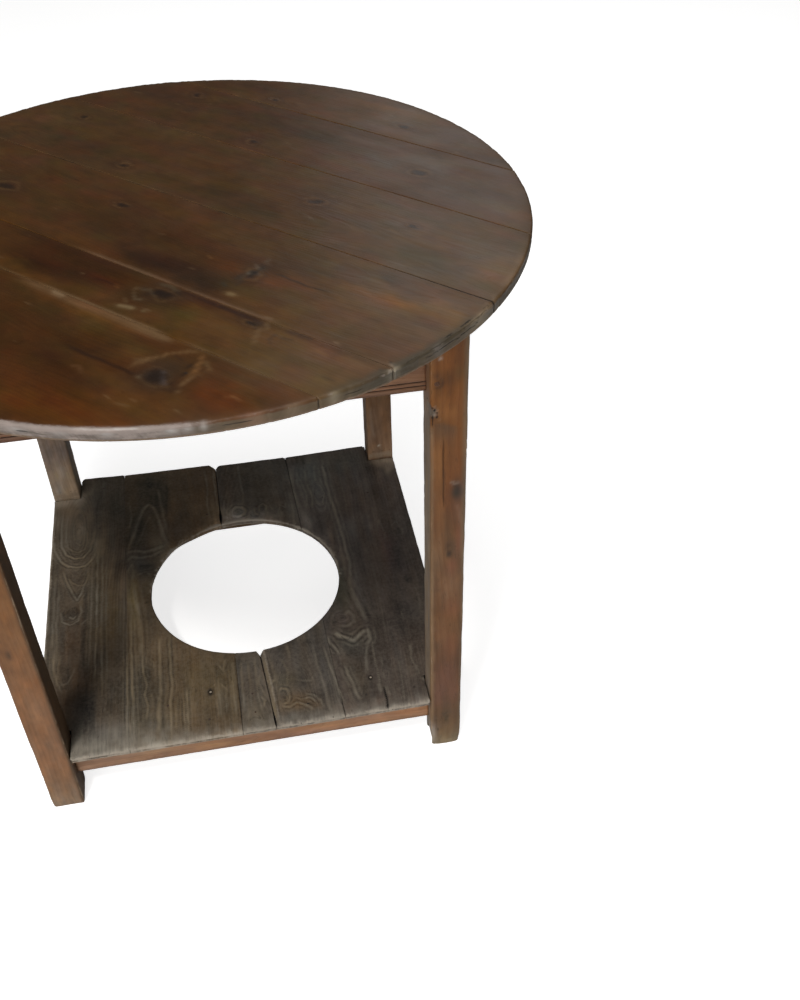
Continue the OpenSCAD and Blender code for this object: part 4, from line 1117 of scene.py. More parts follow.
def shelf_grain(name, X, Y, Z):
    x, y = X / K, Y / K
    zero = x * 0
    px, gap, table = SHELF_PITH[name]
    wx = x + 2.2 * nz(x, y, zero, 30, 120, 1, 501) + 0.9 * nz(x, y, zero, 9, 40, 1, 502)
    knots = [(b, a, d, c) for a, b, c, d in SHELF_KNOTS[name]]
    bent, near = around(y, wx, knots)
    h = profile(y + 4 * nz(x, y, zero, 16, 30, 1, 503), table)
    h = np.sqrt(h**2 + ((SHELF_Z1 - Z) * 0.8) ** 2)
    phi = np.sqrt((bent - px) ** 2 + h**2) / gap + 0.16 * nz(x, y, zero, 14, 160, 1, 504)
    ringed = near < 1.0
    phi = np.where(ringed, near * 2.6 + 40, phi)
    much = {"shelf_board_left": 0.5, "shelf_board_left_centre": 0.12}.get(name, 0.26)
    fade = much + 0.55 * nz(x, y, zero, 30, 120, 1, 505)
    return phi, {"ringy": np.clip(fade, 0.05, 1.0), "near": near}


# light raised lines: board, (points, half width, strength)
SHELF_LINES = {
    "shelf_board_left": [
        ([(-272, 222), (-272, 170), (-270, 128), (-262, 108), (-250, 97), (-236, 97), (-226, 112), (-221, 135), (-219, 165)], 1.7, 0.85),
        ([(-264, 210), (-264, 150), (-260, 124), (-252, 114), (-243, 111), (-234, 116), (-229, 130), (-231, 156)], 1.4, 0.7),
        ([(-254, 184), (-252, 150), (-248, 134), (-241, 126), (-236, 132), (-236, 156)], 1.3, 0.45),
        ([(-284, 150), (-280, 120), (-271, 95), (-258, 80), (-246, 75), (-232, 76), (-222, 88), (-215, 112)], 1.7, 0.8),
        ([(-265, 72), (-262, 52), (-252, 24), (-243, 4), (-236, 18), (-229, 46), (-226, 74)], 1.5, 0.7),
        ([(-258, 56), (-252, 44), (-244, 36), (-234, 34), (-230, 44)], 1.3, 0.45),
        ([(-221, 100), (-221, 0), (-222, -150)], 1.2, 0.6),
        ([(-213, 116), (-213, 20), (-212, -60), (-214, -172)], 1.4, 0.85),
        ([(-206, 112), (-205, 30), (-205, -60), (-203, -190)], 1.3, 0.75),
        ([(-199, 104), (-199, 20), (-198, -80), (-196, -170)], 1.2, 0.55),
        ([(-285, 246), (-286, 60), (-284, -60)], 2.0, 0.75),
        ([(-277, 70), (-276, -30), (-276, -90)], 1.4, 0.6),
        ([(-270, 40), (-271, -40), (-268, -118)], 1.3, 0.5),
        ([(-274, -96), (-271, -130), (-265, -158), (-257, -174)], 1.7, 0.65),
        ([(-267, -138), (-259, -160), (-252, -158), (-245, -146), (-241, -132)], 1.5, 0.5),
        ([(-262, -104), (-264, -122)], 1.3, 0.4),
        ([(-266, -14), (-263, -38), (-252, -46), (-240, -40), (-234, -22), (-238, -4)], 1.4, 0.5),
        ([(-254, -29), (-247, -34), (-242, -29)], 1.6, 0.7),
        ([(-236, -50), (-226, -40), (-224, -10)], 1.3, 0.35),
        ([(-168, 22), (-166, -30), (-167, -120), (-168, -270)], 1.8, 0.7),
        ([(-190, -225), (-192, -268)], 1.4, 0.3),
    ],
    "shelf_board_left_centre": [
        ([(-166, 96), (-158, 130), (-150, 165), (-140, 196), (-132, 204), (-124, 194), (-116, 160), (-110, 120), (-102, 96)], 2.6, 0.5),
        ([(-164, 210), (-160, 180), (-164, 150)], 1.6, 0.3),
        ([(-150, 110), (-142, 140), (-132, 172), (-124, 150)], 1.4, 0.22),
        ([(-116, 240), (-112, 205), (-108, 165), (-104, 130)], 2.2, 0.45),
        ([(-168, 92), (-156, 97), (-140, 90), (-124, 92), (-106, 100)], 2.6, 0.5),
        ([(-168, 74), (-160, 84), (-148, 78), (-128, 80), (-112, 88)], 2.4, 0.5),
        ([(-168, 46), (-160, 66), (-157, 44), (-160, 30)], 2.0, 0.4),
        ([(-152, 40), (-140, 44), (-132, 36)], 2.0, 0.35),
        ([(-158, 22), (-154, -20), (-149, -58), (-148, -90), (-147, -130)], 2.8, 0.65),
        ([(-147, -122), (-145, -160), (-141, -185), (-144, -200), (-140, -222), (-143, -246)], 1.4, 0.7),
        ([(-163, -40), (-162, -120), (-160, -200), (-159, -287)], 1.7, 0.8),
        ([(-121, -95), (-122, -150), (-122, -216)], 1.8, 0.75), ([(-124, -204), (-125, -240), (-126, -270)], 2.6, 0.8),
        ([(-107, -94), (-107, -150), (-106, -195), (-109, -215), (-109, -250), (-110, -287)], 1.6, 1.0),
        ([(-99, -212), (-101, -240), (-103, -272)], 1.2, 0.6), ([(-99, -112), (-99, -170)], 1.1, 0.3),
        ([(-90, -222), (-91, -284)], 1.2, 0.8), ([(-86, -204), (-86, -240), (-87, -282)], 1.4, 0.9),
        ([(-43, -190), (-43, -225), (-42, -262)], 3.4, 0.45), ([(-22, -198), (-21, -244)], 3.0, 0.4), ([(-30, -158), (-31, -172)], 1.6, 0.5),
        ([(-136, -136), (-130, -146), (-132, -156)], 1.2, 0.35), ([(-136, -200), (-133, -212)], 1.6, 0.4),
        ([(-50, -206), (-44, -198), (-38, -204)], 1.4, 0.5),
        ([(-42, -200), (-32, -212), (-34, -256)], 1.3, 0.4),
        ([(-20, -160), (-21, -262)], 1.6, 0.4),
        ([(-30, -160), (-34, -180), (-40, -164)], 1.3, 0.4),
        ([(-36, 272), (-34, 230), (-36, 180), (-34, 150)], 1.4, 0.5),
        ([(-22, 270), (-21, 200), (-19, 150)], 1.4, 0.5),
    ],
    "shelf_board_rear_centre": [
        ([(20, 288), (22, 240), (24, 196), (22, 174)], 1.5, 0.45),
        ([(0, 150), (2, 160), (10, 168), (19, 166), (25, 157), (22, 148), (12, 143), (2, 148)], 2.2, 0.7),
        ([(46, 146), (48, 162), (54, 168), (59, 160), (58, 148)], 1.4, 0.45),
        ([(78, 142), (82, 158), (90, 150), (92, 164)], 1.3, 0.4),
        ([(-8, 190), (-10, 170), (-4, 150)], 1.4, 0.4),
        ([(38, 160), (40, 146), (46, 140)], 1.4, 0.4),
        ([(66, 158), (70, 146)], 1.3, 0.35),
    ],
    "shelf_board_front_narrow": [
        ([(-8, -170), (-10, -262)], 1.5, 0.5),
        ([(2, -168), (1, -255)], 1.2, 0.4),
        ([(12, -165), (11, -235), (14, -262)], 1.4, 0.45),
        ([(16, -196), (14, -210), (18, -226), (22, -240)], 1.4, 0.5), ([(14, -236), (20, -244), (16, -254)], 1.6, 0.5),
    ],
    "shelf_board_front_wide": [
        ([(25, -166), (27, -190), (30, -215), (31, -240), (31, -262), (34, -286)], 2.4, 0.9),
        ([(26, -208), (30, -216), (36, -208)], 2.0, 0.8),
        ([(38, -232), (44, -226), (52, -231), (54, -244), (49, -254), (40, -256)], 1.8, 0.75),
        ([(44, -246), (50, -248), (50, -240)], 1.4, 0.6),
        ([(40, -258), (52, -262), (62, -256), (74, -262), (84, -272)], 1.8, 0.7),
        ([(60, -246), (70, -252), (80, -250), (90, -262)], 1.6, 0.6),
        ([(76, -242), (86, -246), (96, -258), (98, -270)], 1.5, 0.5),
        ([(70, -218), (86, -222), (90, -214)], 1.5, 0.35),
        ([(50, -175), (56, -200), (52, -225)], 1.3, 0.35),
        ([(96, -150), (98, -190), (104, -240), (106, -285)], 1.4, 0.45),
        ([(112, -160), (116, -200), (122, -240), (128, -280)], 1.6, 0.6),
        ([(60, -150), (62, -175)], 1.4, 0.35),
    ],
    "shelf_board_right": [
        ([(165, 262), (164, 210), (166, 165), (170, 110), (173, 50), (174, 0), (169, -48)], 2.2, 0.75), ([(168, -50), (171, -76), (176, -100), (181, -124)], 3.2, 0.6), ([(108, 246), (106, 205), (110, 165), (113, 132)], 3.4, 0.6), ([(150, 250), (147, 220), (152, 190)], 2.0, 0.4),
        ([(116, 240), (124, 205), (128, 170), (124, 140)], 1.4, 0.4),
        ([(133, 240), (131, 205), (137, 172), (134, 140)], 1.5, 0.5),
        ([(145, 208), (138, 180), (142, 150), (152, 144), (157, 170), (152, 204)], 1.6, 0.4),
        ([(129, -137), (138, -148), (149, -154), (156, -159), (164, -152), (172, -146), (180, -143)], 2.9, 1.0),
        ([(179, -139), (181, -150), (180, -162), (174, -170)], 2.3, 0.9),
        ([(120, -143), (122, -157), (127, -168), (132, -180)], 2.1, 0.9), ([(136, -204), (139, -222), (143, -236), (144, -253), (149, -270)], 1.9, 0.7), ([(111, -184), (116, -212), (122, -239), (125, -257), (129, -276)], 1.3, 0.5),
        ([(175, -170), (170, -186), (168, -204), (166, -224)], 1.8, 0.5), ([(181.5, -160), (181, -205), (180, -250)], 1.2, 0.45), ([(178, -246), (180, -262)], 2.6, 0.5), ([(187, -252), (189, -268)], 2.4, 0.4),
        ([(150, -107), (157, -100), (163, -111), (162, -123), (151, -130), (140, -128)], 2.5, 0.5),
        ([(134, -104), (130, -112), (129, -122)], 2.2, 0.3),
        ([(234, -184), (234, -193)], 1.6, 0.5), ([(235, -116), (235, -128)], 1.0, 0.4), ([(240, -246), (246, -252)], 2.4, 0.5),
        ([(205, 40), (208, -60), (204, -160)], 1.3, 0.2),
        ([(228, 60), (236, 90), (240, 60), (236, 40)], 1.3, 0.35),
        ([(252, 70), (262, 80), (268, 60), (266, 45)], 1.3, 0.3),
        ([(214, -205), (212, -250), (208, -280)], 1.3, 0.3),
        ([(190, -190), (188, -240)], 1.3, 0.25),
        ([(236, -180), (232, -210), (238, -240)], 1.5, 0.35),
        ([(262, -60), (266, -90), (262, -130)], 1.4, 0.3),
        ([(190, 230), (188, 120), (192, 20)], 1.2, 0.22),
    ],
}
# dark cracks, checks and stains: (points, half width, strength)
SHELF_DARKS = {
    "shelf_board_left": [
        ([(-232, 66), (-228, -20), (-231, -100), (-224, -180)], 2.6, 0.65), ([(-212, 250), (-217, 205), (-215, 150)], 1.1, 0.75), ([(-234, 205), (-233, 168), (-226, 150)], 1.0, 0.5), ([(-226, 104), (-234, 92)], 2.2, 0.6), ([(-258, 102), (-248, 90), (-236, 90)], 2.0, 0.35),
        ([(-209.5, 110), (-209, -30), (-208, -110), (-210, -195)], 1.0, 0.85), ([(-202, 100), (-202, -60), (-200, -180)], 0.9, 0.7), ([(-217, 108), (-217, -20), (-218, -172)], 1.1, 0.6), ([(-224, -60), (-220, -170)], 1.2, 0.6),
        ([(-250, -236), (-247, -270)], 3.0, 0.7), ([(-256, -8), (-262, -18), (-259, -32), (-250, -38), (-241, -30), (-238, -14)], 1.7, 0.7), ([(-242, -36), (-238, -50)], 1.6, 0.5), ([(-272, 20), (-274, -60)], 1.4, 0.4), ([(-268, 200), (-268, 140), (-258, 112)], 1.2, 0.4), ([(-280, 60), (-281, -20)], 1.2, 0.4), ([(-260, 116), (-250, 105), (-238, 104)], 1.6, 0.5)],
    "shelf_board_left_centre": [
        ([(-128, 262), (-130, 246)], 5.0, 0.75), ([(-101, 262), (-101, 225), (-103, 190), (-104, 160)], 1.6, 0.8), ([(-114, 236), (-112, 214)], 3.0, 0.4), ([(-164, 140), (-170, 90), (-168, 60)], 3.0, 0.45), ([(-136, 215), (-128, 190)], 4.0, 0.35), ([(-153, 62), (-136, 56), (-121, 60)], 5.0, 0.7),
        ([(-150, 46), (-130, 48), (-122, 52)], 2.2, 0.5), ([(-141, 20), (-143, -20)], 3.0, 0.45), ([(-158, -86), (-157, -92)], 1.8, 0.8), ([(-139, -20), (-140, -25)], 1.6, 0.8),
        ([(-47, -238), (-47, -266)], 1.0, 0.7), ([(-36, -200), (-35, -262)], 0.9, 0.5), ([(-104, -208), (-105, -222)], 1.8, 0.7), ([(-82, -196), (-81, -230)], 1.6, 0.35), ([(-139, -150), (-137, -182)], 2.2, 0.65), ([(-158, -130), (-157, -170)], 1.6, 0.5), ([(-152, -228), (-150, -250)], 2.6, 0.5), ([(-42, -160), (-45, -206)], 1.3, 0.6), ([(-32, -192), (-33, -216)], 1.2, 0.5), ([(-118, -222), (-117, -262)], 3.2, 0.35), ([(-64, -256), (-60, -272)], 0.8, 0.5), ([(-15, -200), (-15, -285)], 0.9, 0.7), ([(-119, -84), (-121, -102)], 2.2, 0.4), ([(-112, 236), (-116, 214)], 2.0, 0.35),
        ([(-66, 262), (-64, 200)], 1.2, 0.3), ([(-98, 240), (-96, 170)], 1.4, 0.3), ([(-29, -150), (-31, -160)], 3.0, 0.4)],
    "shelf_board_rear_centre": [([(45, 200), (48, 160)], 1.2, 0.3), ([(70, 180), (74, 150)], 1.4, 0.35), ([(96, 250), (97, 180)], 1.0, 0.4), ([(12, 156), (13, 155)], 4.0, 0.35), ([(2, 240), (3, 200)], 1.4, 0.25), ([(84, 148), (86, 142)], 2.0, 0.4), ([(28, 180), (29, 150)], 1.2, 0.3)],
    "shelf_board_front_narrow": [([(-14, -200), (-14, -285)], 0.8, 0.5), ([(17, -206), (18, -240)], 1.2, 0.4)],
    "shelf_board_front_wide": [([(82, -150), (90, -148), (94, -154)], 4.0, 0.55), ([(46, -242), (48, -246)], 2.0, 0.5), ([(88, -258), (96, -262)], 2.6, 0.45), ([(118, -176), (126, -240), (130, -282)], 1.6, 0.45)],
    "shelf_board_right": [
        ([(114, 272), (114, 256)], 2.6, 0.8), ([(122, 278), (123, 258)], 2.6, 0.8), ([(133, 276), (134, 254)], 2.2, 0.6), ([(112, 198), (116, 150)], 1.3, 0.4), ([(124, 190), (126, 170)], 2.2, 0.45), ([(139, 200), (142, 160)], 1.2, 0.35),
        ([(120, -264), (122, -288)], 1.4, 0.8), ([(184, -254), (185, -270), (184, -291)], 1.3, 1.0), ([(180.5, -200), (182, -250)], 0.8, 0.8), ([(235, -102), (234, -118)], 3.2, 0.6), ([(212, -152), (213, -170)], 1.6, 0.5), ([(232, -180), (233, -192)], 1.6, 0.6), ([(255, -44), (256, -60)], 2.6, 0.65), ([(186, -120), (190, -112)], 4.0, 0.4), ([(262, 66), (265, 48)], 2.2, 0.5), ([(178, -170), (180, -200)], 1.8, 0.4), ([(136, -222), (142, -244)], 2.2, 0.5), ([(256, 62), (259, 44)], 2.2, 0.55), ([(261, -48), (262, -60)], 2.2, 0.5),
        ([(233, 232), (240, 222)], 4.0, 0.35), ([(244, 30), (246, -10)], 6.0, 0.35), ([(128, -153), (138, -156), (145, -160)], 4.0, 0.6), ([(140, -138), (152, -143), (167, -137)], 4.0, 0.55), ([(161, -158), (174, -156)], 3.6, 0.5), ([(124, -176), (129, -194), (131, -209)], 2.8, 0.6), ([(177, -184), (174, -214)], 1.8, 0.5), ([(145, -206), (152, -216)], 3.0, 0.4), ([(128, -119), (141, -117)], 3.4, 0.5), ([(150, -113), (146, -108)], 2.0, 0.3), ([(233, -126), (232, -158)], 1.0, 0.5), ([(241, -240), (243, -262)], 2.2, 0.6), ([(243, -276), (245, -284)], 1.6, 0.7), ([(220, -250), (226, -256)], 6.0, 0.25), ([(254, 20), (250, -30)], 5.0, 0.3)],
}
# base colour and patches as albedo, except a dark patch of painted shadow before the front left leg: (x, y, half width,
# half length, colour, strength)
SHELF_TINT = {
    # the dark patch at -232, -215 on the left board is painted shadow of the front left leg
    "shelf_board_left": ((82, 69, 54), [(-262, 130, 16, 110, (80, 69, 56), 0.7), (-212, 10, 16, 110, (84, 68, 44), 0.7), (-215, 235, 26, 60, (74, 68, 58), 0.8), (-250, -90, 16, 50, (88, 68, 50), 0.7), (-190, -40, 14, 90, (92, 74, 48), 0.7), (-232, -215, 18, 40, (54, 50, 46), 0.75), (-185, 220, 20, 70, (68, 62, 50), 0.8), (-272, -100, 8, 60, (104, 90, 72), 0.6), (-200, -255, 30, 22, (92, 84, 76), 0.6)]),
    "shelf_board_left_centre": ((94, 76, 54), [(-148, 170, 30, 100, (64, 56, 42), 0.85), (-130, 262, 30, 30, (60, 56, 44), 0.7), (-62, 215, 40, 80, (85, 68, 47), 0.85), (-40, 262, 18, 40, (80, 62, 44), 0.6), (-150, 60, 24, 36, (80, 78, 72), 0.75), (-88, 130, 20, 30, (78, 64, 50), 0.6), (-158, -10, 8, 46, (120, 102, 66), 0.8), (-130, -110, 24, 50, (94, 76, 54), 0.7), (-60, -190, 40, 50, (98, 78, 50), 0.8), (-80, -240, 60, 30, (104, 86, 62), 0.6), (-150, -200, 22, 60, (80, 70, 56), 0.6), (-22, -215, 8, 50, (96, 78, 52), 0.6), (-138, 5, 8, 24, (84, 66, 40), 0.5)]),
    "shelf_board_rear_centre": ((78, 68, 57), [(40, 220, 40, 60, (74, 66, 54), 0.7), (70, 262, 40, 24, (80, 74, 64), 0.6), (60, 150, 46, 14, (88, 82, 72), 0.6), (-4, 240, 10, 50, (82, 68, 54), 0.6), (12, 155, 14, 12, (96, 90, 80), 0.6)]),
    "shelf_board_front_narrow": ((90, 80, 68), [(0, -200, 14, 50, (90, 80, 70), 0.6), (4, -262, 16, 26, (100, 90, 74), 0.7)]),
    "shelf_board_front_wide": ((84, 75, 65), [(60, -190, 30, 40, (82, 73, 64), 0.6), (60, -252, 26, 16, (110, 86, 58), 0.7), (80, -256, 16, 14, (112, 84, 54), 0.6), (104, -200, 12, 70, (80, 74, 68), 0.6), (50, -210, 24, 16, (84, 76, 58), 0.5), (92, -244, 12, 16, (62, 56, 50), 0.6)]),
    "shelf_board_right": ((80, 69, 60), [(205, 60, 24, 120, (88, 74, 64), 0.7), (225, -60, 30, 90, (78, 66, 58), 0.6), (215, -150, 60, 60, (64, 54, 46), 0.75), (140, 230, 30, 60, (92, 86, 74), 0.7), (200, 250, 40, 30, (84, 80, 70), 0.7), (250, 10, 14, 60, (68, 58, 54), 0.65), (120, 90, 10, 60, (96, 88, 78), 0.6), (150, -60, 14, 40, (84, 78, 64), 0.7), (150, -165, 22, 20, (80, 78, 70), 0.7), (150, -112, 14, 12, (98, 84, 74), 0.6), (205, -170, 22, 50, (66, 56, 48), 0.7), (225, -240, 26, 30, (78, 67, 56), 0.6), (150, -230, 18, 40, (80, 70, 56), 0.6), (150, -30, 12, 50, (72, 70, 54), 0.6), (262, 180, 14, 80, (92, 78, 68), 0.6), (235, 20, 10, 40, (92, 66, 60), 0.5)]),
}


# wide light and dark areas over all the boards: most are painted light and shade that move where the shadows of the top
# and of the front left leg fall, the rest the boards' own tone: (x, y, half width, half length, how much lighter, how
# much bluer)
SHELF_PAINTED_LIGHT_AND_TONE = [
    (-252, 190, 26, 62, 1.9, 1.05), (-216, 122, 15, 36, 1.75, 1.05), (-194, 60, 13, 46, 1.45, 1.0), (-192, -40, 15, 60, 1.35, 1.08), (-173, 26, 9, 32, 1.6, 0.95), (-164, -58, 15, 46, 1.28, 1.08),
    (-155, 155, 17, 56, 0.64, 1.08), (-122, 222, 17, 44, 0.70, 1.12), (-112, 96, 16, 26, 1.4, 1.2), (-136, 58, 16, 16, 1.35, 1.1), (-138, 12, 8, 22, 1.5, 1.15),
    (-248, -56, 20, 44, 0.74, 1.0), (-253, -196, 13, 44, 1.55, 0.88), (-232, -158, 11, 28, 1.3, 0.8), (-221, -222, 12, 26, 0.62, 1.05),
    (-182, -182, 18, 38, 0.80, 1.1), (-146, -182, 26, 54, 0.74, 1.1), (-115, -160, 11, 46, 0.82, 1.0), (-150, -258, 44, 16, 1.3, 1.2),
    (-62, 252, 28, 22, 0.85, 1.0), (10, 182, 28, 30, 1.2, 1.05), (101, 196, 13, 66, 1.35, 1.08), (126, 198, 18, 66, 1.2, 1.08), (152, 168, 13, 40, 1.25, 1.1), (112, 122, 18, 16, 1.6, 1.05),
    (62, 136, 20, 10, 1.35, 1.05), (-4, 150, 14, 14, 1.5, 1.05), (176, 80, 14, 66, 1.3, 1.12), (202, 60, 18, 62, 1.2, 1.08), (226, 200, 16, 50, 1.35, 1.1), (226, 92, 14, 26, 1.35, 1.05),
    (-232, 215, 12, 56, 1.35, 1.0), (-238, 146, 10, 28, 1.6, 1.1), (-215, 108, 9, 30, 1.25, 1.05), (-195, 122, 8, 30, 1.2, 1.1), (-156, 142, 13, 22, 0.80, 1.0), (-108, 218, 13, 34, 0.80, 1.1), (-18, 152, 16, 26, 1.30, 1.05),
    (14, 164, 16, 18, 1.25, 1.0), (100, 158, 12, 36, 1.25, 1.05), (156, 158, 20, 40, 1.18, 1.05), (-195, 54, 9, 28, 1.22, 1.0), (-244, -40, 14, 30, 0.82, 0.95), (-150, -72, 11, 50, 1.22, 1.08), (-172, -20, 9, 30, 1.15, 1.0),
    (-218, -222, 9, 34, 0.80, 1.0), (-237, -248, 9, 22, 0.62, 1.1), (-136, -216, 13, 40, 0.80, 1.05), (-135, -258, 11, 10, 0.66, 0.95), (-258, -225, 10, 24, 1.3, 1.1), (-264, 200, 10, 50, 1.35, 1.0),
    (-216, 262, 26, 14, 1.4, 1.0), (-240, 150, 20, 30, 1.3, 1.05), (-215, 112, 10, 24, 1.3, 1.05), (-196, 66, 8, 20, 1.2, 1.0), (-175, 36, 8, 18, 1.3, 1.0), (-155, 2, 8, 24, 1.3, 1.05), (-155, -56, 8, 24, 1.18, 1.0),
    (-156, 126, 22, 26, 0.80, 1.05), (-112, 222, 26, 32, 0.84, 1.08), (165, 160, 85, 120, 1.14, 1.08), (-262, 236, 26, 18, 2.0, 1.1), (240, -170, 22, 34, 0.84, 0.92), (-4, 158, 24, 14, 1.35, 1.0), (98, 150, 20, 34, 1.2, 1.0), (125, 104, 14, 14, 1.4, 1.05), (150, 72, 10, 18, 1.3, 1.0), (172, -14, 9, 50, 1.2, 1.0),
    (226, 70, 10, 16, 1.3, 1.0), (150, -112, 12, 16, 1.25, 1.05), (150, -174, 12, 16, 0.76, 1.0), (-176, -206, 28, 30, 0.85, 1.05), (-126, -262, 20, 10, 0.72, 1.0), (-236, -252, 11, 22, 0.66, 1.0), (-215, -262, 9, 12, 0.66, 1.0),
    (-195, -258, 11, 14, 0.82, 1.0), (-150, -284, 40, 7, 1.3, 1.1), (28, -282, 26, 6, 1.25, 1.05), (176, -280, 14, 7, 1.3, 0.95), (226, -281, 14, 6, 1.25, 1.0), (-14, -172, 30, 12, 0.88, 1.1), (-60, -190, 34, 50, 0.98, 1.12), (-150, -190, 56, 36, 0.90, 1.0), (192, -60, 28, 44, 1.15, 1.05), (-230, 140, 40, 50, 1.14, 1.03),
    (256, 216, 10, 24, 1.7, 1.05), (-272, 212, 12, 40, 1.35, 1.0), (-180, 180, 12, 50, 0.92, 1.08),
    (-20, -200, 7, 16, 1.2, 1.1), (40, -276, 26, 8, 1.35, 1.1), (130, -280, 22, 8, 1.4, 0.95), (178, -272, 16, 10, 1.4, 0.95), (232, -282, 14, 8, 1.35, 1.0), (214, -20, 16, 40, 1.12, 1.05), (226, 150, 10, 40, 1.12, 1.05), (126, 238, 30, 24, 1.12, 1.2),
    (174, -44, 13, 56, 1.35, 1.1), (128, -92, 13, 24, 1.3, 1.1), (202, -104, 16, 56, 1.2, 1.08), (251, -114, 13, 20, 0.74, 1.0), (250, -165, 12, 22, 0.78, 0.9), (150, -190, 17, 28, 0.74, 1.0), (126, -228, 14, 20, 0.85, 1.0),
]


def shelf_marks(name, x, y):
    """How light and how dark the drawn lines make each place: pale crests with dark valleys beside them."""
    zero = x * 0
    wx, wy = x + 1.1 * nz(x, y, zero, 9, 14, 1, 511), y + 2.0 * nz(x, y, zero, 14, 20, 1, 512)
    light, dark = zero.copy(), zero.copy()
    for pts, w, s in SHELF_LINES[name]:
        d, t = to_line(wx, wy, pts)
        end = 0.25 + 0.75 * step(np.minimum(t, 1 - t), 0, 0.12)
        light = np.maximum(light, s * end * np.exp(-((d / w) ** 2)))
        dark = np.maximum(dark, 0.62 * s * end * np.exp(-(((d - w * 1.9) / (w * 0.8)) ** 2)))
        if s > 0.5:
            light = np.maximum(light, 0.30 * s * end * np.exp(-(((d - w * 3.4) / (w * 0.8)) ** 2)))
    for pts, w, s in SHELF_DARKS[name]:
        dark = np.maximum(dark, s * stroke(wx, wy, pts, w, 0.2))
    dark = np.clip(dark - 0.8 * light, 0, 1)
    return light, dark


